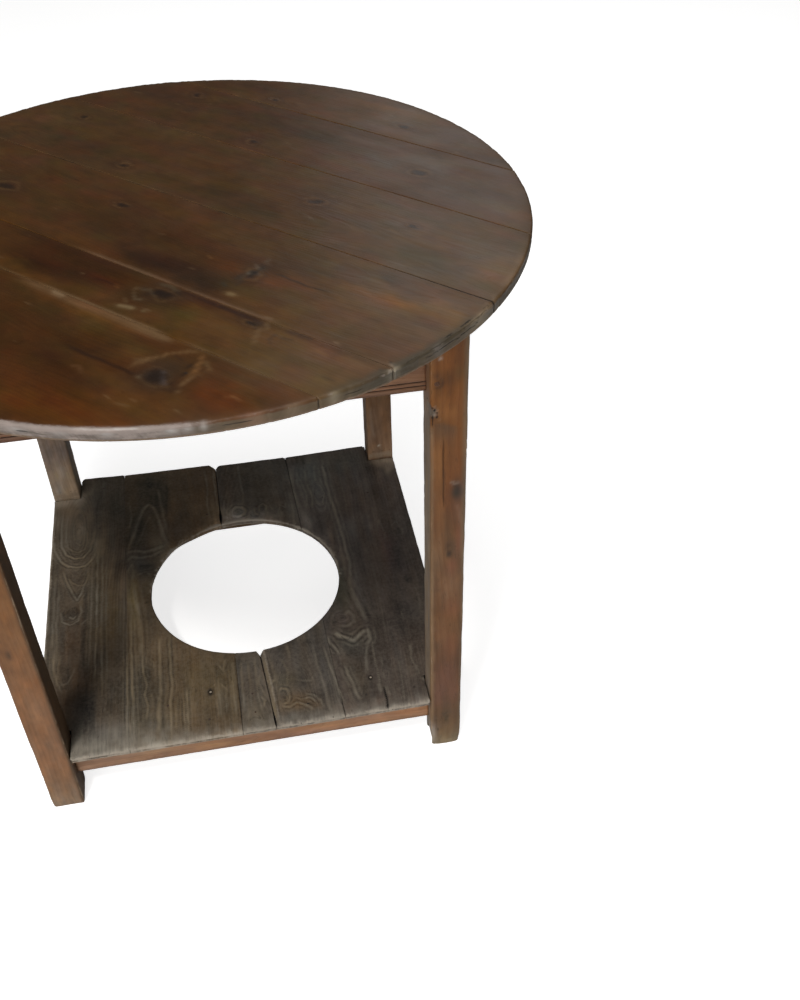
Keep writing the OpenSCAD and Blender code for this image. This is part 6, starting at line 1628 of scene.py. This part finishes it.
        for pts, w, c, k in {
            "leg_back_left": (([(-284, 174), (-281, 160)], 1.8, (172, 152, 112), 0.6), ([(-266, 172), (-262, 156)], 2.0, (168, 150, 116), 0.6), ([(-278, 200), (-276, 184)], 1.6, (150, 132, 100), 0.4), ([(-290, 240), (-288, 205)], 2.2, (92, 78, 60), 0.5), ([(-272, 262), (-270, 214)], 2.4, (96, 84, 74), 0.45)),
            "leg_back_right": (([(273.5, 142), (274.5, 140)], 2.0, (206, 196, 176), 0.9), ([(262, 230), (264, 180), (268, 160)], 2.0, (150, 128, 108), 0.45), ([(268, 225), (270, 190)], 1.4, (142, 112, 88), 0.4)),
        }[name]:
            col = mark(col, f * stroke(X, Z, pts, w) * k, c)
    # more painted shade on the right face of the front left leg, laid in the dark mask that also holds dirt
    if name == "leg_front_left":
        side = X > cx + LEG_H - 5
        dirt_and_shade = np.maximum(dirt_and_shade, 0.25 * side)
    ends = end > 0.5
    col = np.where(ends[:, None], lin(96, 78, 56)[None], col)
    return fields(phi, Z, X + Y, col, knot=knot, rub=rub, dirt_and_shade=dirt_and_shade, wax=np.where(front & (Z > 90), 0.7, 0.1), ringy=0.8 + 0.4 * nz(X, Y, Z, 20, 20, 120, 655), dust=np.where(ends, 0.4, 0.0))


def apron_section(lo, hi, z0, z1, grooves, outward=-1):
    """Closed section (out, z): out is measured from the middle of the thickness, grooves are cut in the outer face."""
    t = (hi - lo) / 2
    pts = []
    r = 1.2
    # outer face from the top down
    zs = sorted(set(list(np.arange(z0 + r, z1 - r, 4.0)) + [z1 - r] + [g + e for g in grooves for e in (-2.6, -1.2, -0.7, -0.3, 0, 0.3, 0.7, 1.2, 2.6)]))
    face = []
    for z in zs:
        dz = min([abs(z - g) for g in grooves] + [99])
        cut = 1.3 * max(0.0, 1 - (dz / 1.25) ** 2) if dz < 1.25 else 0.0
        face.append((-t + cut, z))
    pts += face[::-1]
    pts += [(-t + r * (1 - math.cos(a)), z0 + r * (1 - math.sin(a))) for a in (math.pi / 6, math.pi / 3)]
    pts += [(-t + r + k, z0) for k in np.arange(0, 2 * t - 2 * r + 0.1, 3.0)]
    pts += [(t - r * (1 - math.sin(a)), z0 + r * (1 - math.cos(a))) for a in (math.pi / 6, math.pi / 3)]
    pts += [(t, z) for z in np.arange(z0 + r, z1 - r + 0.1, 5.0)]
    pts += [(t - r, z1)]
    pts += [(t - r - k, z1) for k in np.arange(3.0, 2 * t - 2 * r, 3.0)]
    pts += [(-t + r, z1)]
    return np.array(pts)


def place_side(which, a, b, c):
    """From (out, z, along) of a front bar to the world, for the front, back, left or right side."""
    if which == "front":
        return np.column_stack([c, a, b])
    if which == "back":
        return np.column_stack([-c, -a, b])
    if which == "left":
        return np.column_stack([a, -c, b])
    return np.column_stack([-a, c, b])


def build_rails():
    for s, which in enumerate(("front", "back", "left", "right")):
        for kind in ("apron", "rail"):
            name = kind + "_" + which
            if kind == "apron":
                sec = apron_section(0, 20, 638.0, 734.0, (645.3, 650.8))
                mid, gap = -266.0, 4.0
            else:
                sec = apron_section(0, 22, 54.0, 101.0, ())
                mid, gap = -272.0, 4.0
            if area(sec) < 0:
                sec = sec[::-1]
            cs = along(-254.0, 254.0, gap, (0.0, 3.0))
            lowz = sec[:, 1].min()

            def disp(a, b, c, ar, nn):
                w = 0.12 + 0.12 * nz(a, b, c, 12, 14, 120, 111 + s)
                return w + np.exp(-((ar / 2.0) ** 2)) * 0.5 * (0.5 + 0.5 * nz(a, b, c, 6, 6, 18, 115 + s))

            verts, tris, quads, dist, end = sweep(sec, cs, lambda c: 0 * c, disp)
            a, b, c = verts[:, 0] + mid, verts[:, 1], verts[:, 2]
            world = place_side(which, a, b, c)
            f = bar_fields(kind, which, s, a, b, c, dist, end, lowz)
            mat, slot = (MAT_APRON, "apron_wood") if kind == "apron" else (MAT_RAIL, "rail_wood")
            o = make(name + "_wood", world, tris, quads, f, [mat], [name])


def bar_fields(kind, which, s, a, b, c, dist, end, lowz):
    zero = a * 0
    hz = b - lowz
    mid = 48 if kind == "apron" else 23
    outer = a < (-273 if kind == "apron" else -280)
    phi = np.sqrt((b - lowz - mid * 0.6 - 7 * np.sin(c / 130 + s)) ** 2 + (22 + 9 * np.sin(c / 90 + 2 * s) + (a + 266) * 0.8) ** 2) / 4.2 + 0.2 * nz(a, b, c, 14, 14, 120, 701 + s)
    if kind == "apron":
        base = lin(132, 98, 74)[None] + zero[:, None]
        base = mark(base, 0.5 + 0.5 * nz(a, b, c, 20, 26, 110, 705 + s), (118, 80, 56))
    else:
        base = lin(166, 126, 98)[None] + zero[:, None]
        base = mark(base, 0.45 + 0.5 * nz(a, b, c, 20, 22, 90, 709 + s), (146, 106, 78))
        if which == "front":
            base = mark(base, 0.6 * step(c, 60, 240), (174, 130, 94))
            for cc, bb, L, w, k in ((-150, 74, 40, 6, (196, 160, 120)), (-60, 66, 34, 5, (188, 146, 104)), (10, 82, 46, 6, (192, 152, 112)), (96, 70, 38, 6, (190, 140, 96)), (170, 84, 30, 6, (198, 152, 110)), (-200, 86, 30, 5, (176, 140, 106)), (226, 72, 24, 6, (178, 120, 80)), (60, 90, 30, 4, (128, 88, 60)), (-100, 90, 36, 4, (134, 98, 70))):
                base = mark(base, outer * 0.55 * np.exp(-(((c - cc) / L) ** 2) - ((b - bb + 0.03 * (c - cc)) / w) ** 2), k)
            base = mark(base, 0.5 * (1 - step(c, -200, -60)), (146, 114, 90))
    base = base * (1 + 0.18 * nz(a, b, c, 5, 4, 120, 713 + s, 3) + 0.15 * nz(a, b, c, 14, 12, 36, 717 + s) + 0.10 * nz(a, b, c, 7, 5, 14, 719 + s))[:, None]
    warm = 0.10 * nz(a, b, c, 12, 9, 60, 731 + s)
    base = base * np.stack([1 + 0.6 * warm, 1 + 0.2 * warm, 1 - 1.4 * warm], 1)
    rub = 0.55 * np.exp(-((dist / 1.6) ** 2)) * (0.6 + 0.6 * nz(a, b, c, 10, 10, 40, 721 + s))
    dirt_and_shade = zero.copy()
    if kind == "apron":
        for g, w in ((645.3, 0.9), (650.8, 0.9)):
            dirt_and_shade = np.maximum(dirt_and_shade, outer * 0.9 * np.exp(-(((b - g) / w) ** 2)))
        base = mark(base, outer * np.exp(-(((b - 639) / 3.0) ** 2)) * 0.6, (70, 46, 30))
        base = mark(base, outer * np.exp(-(((b - 648) / 1.2) ** 2)) * 0.4, (138, 96, 66))
        base = mark(base, outer * step(b, 715, 734) * 0.5, (80, 54, 34))
    else:
        base = mark(base, outer * np.exp(-(((b - 54.5) / 2.4) ** 2)) * 0.7, (84, 56, 36))
        # the top of the rail's outer face is painted darker as the shadow under the shelf's front edge
        base = mark(base, outer * step(b, 96, 100.5) * 0.55, (78, 56, 38))
        rub = np.maximum(rub, outer * 0.35 * np.exp(-(((b - 88) / 9) ** 2)) * (0.3 + 0.7 * nz(a, b, c, 10, 9, 70, 725 + s)))
    inner = a > (-257 if kind == "apron" else -262)
    m = (inner * 0.8)[:, None]
    base = base * (1 - m) + lin(114, 92, 68)[None] * m
    return fields(phi, c, a, base, rub=rub, dirt_and_shade=dirt_and_shade, wax=np.where(outer, 0.5, -0.6), ringy=0.9 + 0.3 * nz(a, b, c, 20, 20, 90, 729), dust=np.where(inner, 0.25, 0.0))


def build_battens():
    for s, (name, y0) in enumerate((("shelf_batten_rear", 146.0), ("shelf_batten_front", -255.0))):
        out = densify([(-251, y0 + 0.1), (251, y0 + 0.1), (251, y0 + 43.9), (-251, y0 + 43.9)], 3.0)
        batten(name, out, 89.0, 101.0, s)
    for s, sign in ((2, -1), (3, 1)):
        name = "top_batten_left" if sign < 0 else "top_batten_right"
        # the strip crossed with the square inside the aprons
        q = 256.0
        c, w = sign * 150.0, 30.0
        pts = []
        for uu in (c - w, c + w):
            # |x| and |y| stay within q: x = (u + v) / sqrt 2, y = (v - u) / sqrt 2
            lim = q * math.sqrt(2) - abs(uu)
            pts.append((uu, lim))
        (ua, la), (ub, lb) = pts
        ring = [(ua, -la), (ub, -lb), (ub, lb), (ua, la)]
        world = [((u + v) / math.sqrt(2), (v - u) / math.sqrt(2)) for u, v in ring]
        out = densify(world, 3.0)
        if area(out) < 0:
            out = out[::-1]
        batten(name, out, 712.0, 734.0, s)


def batten(name, out, z0, z1, s):
    n = len(out)
    r = np.full(n, 1.3)
    upper = plate_mesh(out, 12.0, 12.0, (0.5, 1.2, 2.4, 4.0))
    lower = plate_mesh(out, 4.0, 4.0, (0.5, 1.2, 2.4, 4.0))
    pts = lower[0]
    rel = 0.25 + 0.2 * nz(pts[:, 0], pts[:, 1], pts[:, 0] * 0, 60, 60, 1, 120 + s)

    def wall(w, k):
        return 0.15 + 0.15 * nz(w[:, 0], w[:, 1], w[:, 2], 20, 20, 4, 125)

    verts, tris, quads, side, dist, nearest = plate_solid(upper, lower, n, r, r, z0, z1, 4, 0.02, np.abs(rel), wall)
    X, Y, Z = verts.T
    if name.startswith("top"):
        run, across = (X + Y) / math.sqrt(2), (X - Y) / math.sqrt(2)
    else:
        run, across = X, Y
    phi = np.hypot(across - across.mean() - 8, Z - z0 + 22 + 8 * np.sin(run / 120)) / 4.2
    tint = np.broadcast_to(lin(96, 78, 60), (len(X), 3)).copy()
    f = fields(phi, run, Z, tint, rub=np.exp(-((dist / 2.0) ** 2)) * 0.4)
    make(name + "_wood", verts, tris, quads, f, [MAT_HIDDEN], [name])


# ------------------------------------------------------------------ pegs and nails
def ring_solid(rings, seed=0):
    """A closed solid from rings of equal count, first to last."""
    n = len(rings[0])
    verts = np.concatenate(rings + [rings[0].mean(0)[None], rings[-1].mean(0)[None]])
    quads, tris = [], []
    for k in range(len(rings) - 1):
        a = k * n + np.arange(n)
        b = a + n
        quads.append(np.column_stack([a, np.roll(a, -1), np.roll(b, -1), b]))
    m = len(rings) * n
    a = np.arange(n)
    tris.append(np.column_stack([a, np.full(n, m), np.roll(a, -1)]))
    b = (len(rings) - 1) * n + np.arange(n)
    tris.append(np.column_stack([b, np.roll(b, -1), np.full(n, m + 1)]))
    return verts, np.concatenate(tris), np.concatenate(quads)


def peg(rng):
    """A split wooden peg along +Z, its outer end at z = 0, slightly proud and rounded."""
    n = 14
    t = np.arange(n) / n * 2 * math.pi
    shape = 1 + 0.03 * np.cos(5 * t + rng.uniform(0, 6)) + rng.uniform(-0.012, 0.012, n)
    rings = []
    for z, r in ((-42, 2.9), (-40, 3.4), (-12, 3.85), (-1.6, 3.9), (-0.4, 3.7), (0.05, 3.1), (0.25, 1.8)):
        rings.append(np.column_stack([r * shape * np.cos(t), r * shape * np.sin(t), np.full(n, z + 0.0) + rng.uniform(-0.03, 0.03, n) * (z > -2)]))
    return ring_solid(rings)


def nail(l, head_r, rng):
    """A hand-made nail, head up at z = 0: a faceted low dome on a square shank."""
    n = 12
    t = np.arange(n) / n * 2 * math.pi + rng.uniform(0, 0.5)
    sq = 1 / np.maximum(np.abs(np.cos(t)), np.abs(np.sin(t))) ** 0.75
    head = 1 + rng.uniform(-0.06, 0.05, n)
    rings = []
    for z, r, form in ((-l, 0.35, sq), (-l + 3, 0.7, sq), (-1.6, 1.15, sq), (-1.2, 1.3, sq), (-1.15, head_r * 0.86, head), (-0.7, head_r * 0.97, head), (-0.35, head_r * 0.88, head), (-0.12, head_r * 0.6, head), (-0.04, head_r * 0.3, head)):
        rings.append(np.column_stack([r * form * np.cos(t), r * form * np.sin(t), np.full(n, float(z))]))
    return ring_solid(rings)


def group(name, items, mat, colour=None, shine=None):
    """items: (vertices, tris, quads) already in place, joined in one piece."""
    V, T, Q, base = [], [], [], 0
    for v, t, q in items:
        V.append(v)
        T.append(t + base)
        Q.append(q + base)
        base += len(v)
    V, T, Q = np.concatenate(V), np.concatenate(T), np.concatenate(Q)
    X, Y, Z = V.T
    f = {}
    if shine is not None:
        f = fields(X * 0, Z, X, np.broadcast_to((0.1, 0.1, 0.1), (len(X), 3)), rub=shine(X, Y, Z))
    if colour is not None:
        f = fields(np.hypot(X * 0.7 + Z * 0.3, Y) / 1.3, Z, X, np.broadcast_to(colour, (len(X), 3)))
    return make(name, V, T, Q, f, [mat], [name.rsplit("_", 1)[0]])


def turned(v, axis):
    """The solid that points along +Z, turned to point along axis."""
    q = Vector((0, 0, 1)).rotation_difference(Vector(axis)).to_matrix()
    return v @ np.array(q).T


def build_fasteners():
    rng = np.random.default_rng(7)
    pegs = []
    for sx in (-1, 1):
        for sy in (-1, 1):
            v, t, q = peg(rng)
            pegs.append((turned(v, (0, sy, 0)) + np.array([sx * 262.0, sy * 298.6, 662.0]), t, q))
            v, t, q = peg(rng)
            pegs.append((turned(v, (sx, 0, 0)) + np.array([sx * 298.6, sy * 262.0, 710.0]), t, q))
    group("apron_pegs_wood", pegs, MAT_PEG, lin(92, 62, 42))
    front, back = (-200, -80, 0, 50, 110, 215), (-190, -40, 80, 150, 220)
    tops = [(x, -266.0) for x in front] + [(x, 266.0) for x in back] + [(-266.0, y) for y in front] + [(266.0, y) for y in back]
    items = []
    for x, y in tops:
        v, t, q = nail(50, 2.7, rng)
        items.append((v + np.array([x, y, 749.4]), t, q))
    group("top_nails_iron", items, MAT_IRON)
    items = []
    for s in (-1, 1):
        for w in (-170, -145, -105, -45, 5, 55, 105, 160):
            v, t, q = nail(32, 2.8, rng)
            u = s * 150.0
            items.append((turned(v, (0, 0, -1)) + np.array([(u + w) / math.sqrt(2), (w - u) / math.sqrt(2), 712.0]), t, q))
    group("top_batten_nails_iron", items, MAT_IRON)
    items = []
    for o in (30, 55):
        for axis, place in (((0, -1, 0), (-o, -276.0)), ((0, 1, 0), (o, 276.0)), ((-1, 0, 0), (-276.0, -o)), ((1, 0, 0), (276.0, o))):
            v, t, q = nail(45, 2.8, rng)
            items.append((turned(v, axis) + np.array([place[0], place[1], 723.0]), t, q))
    group("batten_end_nails_iron", items, MAT_IRON)
    items = []
    for x in (-215, -120, -60, 5, 80, 165, 235):
        items.append((x, -272.0, 34))
    for x in (-215, -110, -45, 45, 150, 235):
        items.append((x, 272.0, 34))
    for x, y in ((-215, -232), (-118, -236), (-56, -223), (3, -238), (82, -230), (176, -242), (242, -230), (-220, 168), (-120, 172), (-40, 166), (45, 170), (90, 164), (160, 170), (238, 166)):
        items.append((x, y, 20))
    made = []
    for x, y, l in items:
        v, t, q = nail(l, 2.7, rng)
        made.append((v + np.array([x, y, 111.6]), t, q))

    def worn(X, Y, Z):
        """Two heads near the front are rubbed bright, painted pale as a highlight."""
        return sum(0.9 * np.exp(-((np.hypot(X - cx - 0.3, Y - cy - 0.3) / 1.9) ** 4)) * (Z > 110) for cx, cy in ((-56.0, -223.0), (176.0, -242.0)))

    group("shelf_nails_iron", made, MAT_IRON, shine=worn)


# ------------------------------------------------------------------ the stage
def build_stage():
    me = bpy.data.meshes.new("floor")
    s = 9.0
    me.from_pydata([(-s, -s, -0.0003), (s, -s, -0.0003), (s, s, -0.0003), (-s, s, -0.0003)], [], [(0, 1, 2, 3)])
    o = bpy.data.objects.new("floor", me)
    bpy.context.scene.collection.objects.link(o)
    w = Net("floor_pale")
    w.p.inputs["Base Color"].default_value = (0.80, 0.80, 0.80, 1)
    w.p.inputs["Roughness"].default_value = 0.8
    w.p.inputs["Specular IOR Level"].default_value = 0.1
    w.p.inputs["Emission Color"].default_value = (1, 1, 1, 1)
    seen = w.t.nodes.new("ShaderNodeLightPath").outputs["Is Camera Ray"]
    w.put(w.p.inputs["Emission Strength"], w.math("MULTIPLY", seen, 0.78))
    me.materials.append(w.mat)

    world = bpy.data.worlds.new("studio")
    bpy.context.scene.world = world
    world.use_nodes = True
    t = world.node_tree
    t.nodes.clear()
    out = t.nodes.new("ShaderNodeOutputWorld")
    mix = t.nodes.new("ShaderNodeMixShader")
    path = t.nodes.new("ShaderNodeLightPath")
    seen = t.nodes.new("ShaderNodeBackground")
    soft = t.nodes.new("ShaderNodeBackground")
    seen.inputs[0].default_value = (1, 1, 1, 1)
    seen.inputs[1].default_value = 1.0
    soft.inputs[0].default_value = (1.0, 0.985, 0.965, 1)
    soft.inputs[1].default_value = 0.06
    t.links.new(path.outputs["Is Camera Ray"], mix.inputs[0])
    t.links.new(soft.outputs[0], mix.inputs[1])
    t.links.new(seen.outputs[0], mix.inputs[2])
    t.links.new(mix.outputs[0], out.inputs[0])

    def lamp(name, place, target, size, power, colour=(1, 1, 1), level=None):
        d = bpy.data.lights.new(name, "AREA")
        d.shape, d.size, d.size_y, d.energy, d.color = "RECTANGLE", size[0], size[1], power, colour
        l = bpy.data.objects.new(name, d)
        bpy.context.scene.collection.objects.link(l)
        aim = (Vector(target) - Vector(place)).normalized()
        if level is None:
            level = (aim.y, -aim.x, 0.0)
        x = Vector(level)
        x = (x - aim * x.dot(aim)).normalized()
        y = (-aim).cross(x)
        l.matrix_world = Matrix(((x.x, y.x, -aim.x, place[0]), (x.y, y.y, -aim.y, place[1]), (x.z, y.z, -aim.z, place[2]), (0, 0, 0, 1)))

    lamp("key", (-0.888, -1.903, 3.75), (0, 0, 0.3), (0.9, 0.2), 72, (1.0, 0.98, 0.95), (0.447, -0.894, 0))
    lamp("soft_front", (-1.0, -3.0, 1.5), (0, 0, 0.35), (2.2, 1.6), 48)
    lamp("soft_over", (0.2, -0.2, 3.5), (0, 0, 0.4), (2.6, 2.6), 24)
    lamp("soft_back", (1.35, 2.85, 2.35), (0.2, 0, 0.75), (1.7, 1.4), 7.5)


def build_camera():
    pitch, yaw, roll = 0.721493, 0.166905, -0.0250717
    fwd = Vector((math.sin(yaw) * math.cos(pitch), math.cos(yaw) * math.cos(pitch), -math.sin(pitch)))
    right = Vector((math.cos(yaw), -math.sin(yaw), 0))
    up = right.cross(fwd)
    r2 = math.cos(roll) * right + math.sin(roll) * up
    u2 = -math.sin(roll) * right + math.cos(roll) * up
    m = Matrix(((r2.x, u2.x, -fwd.x, 0.048443), (r2.y, u2.y, -fwd.y, -1.297931), (r2.z, u2.z, -fwd.z, 1.390159), (0, 0, 0, 1)))
    cam = bpy.data.cameras.new("camera")
    cam.sensor_width, cam.lens = 36.0, 40.42
    cam.clip_start, cam.clip_end = 0.05, 60
    o = bpy.data.objects.new("camera", cam)
    bpy.context.scene.collection.objects.link(o)
    o.matrix_world = m
    bpy.context.scene.camera = o


build_camera()
build_top()
build_shelf()
build_legs()
build_rails()
build_battens()
build_fasteners()
build_stage()
bpy.context.scene.view_settings.view_transform = "Standard"
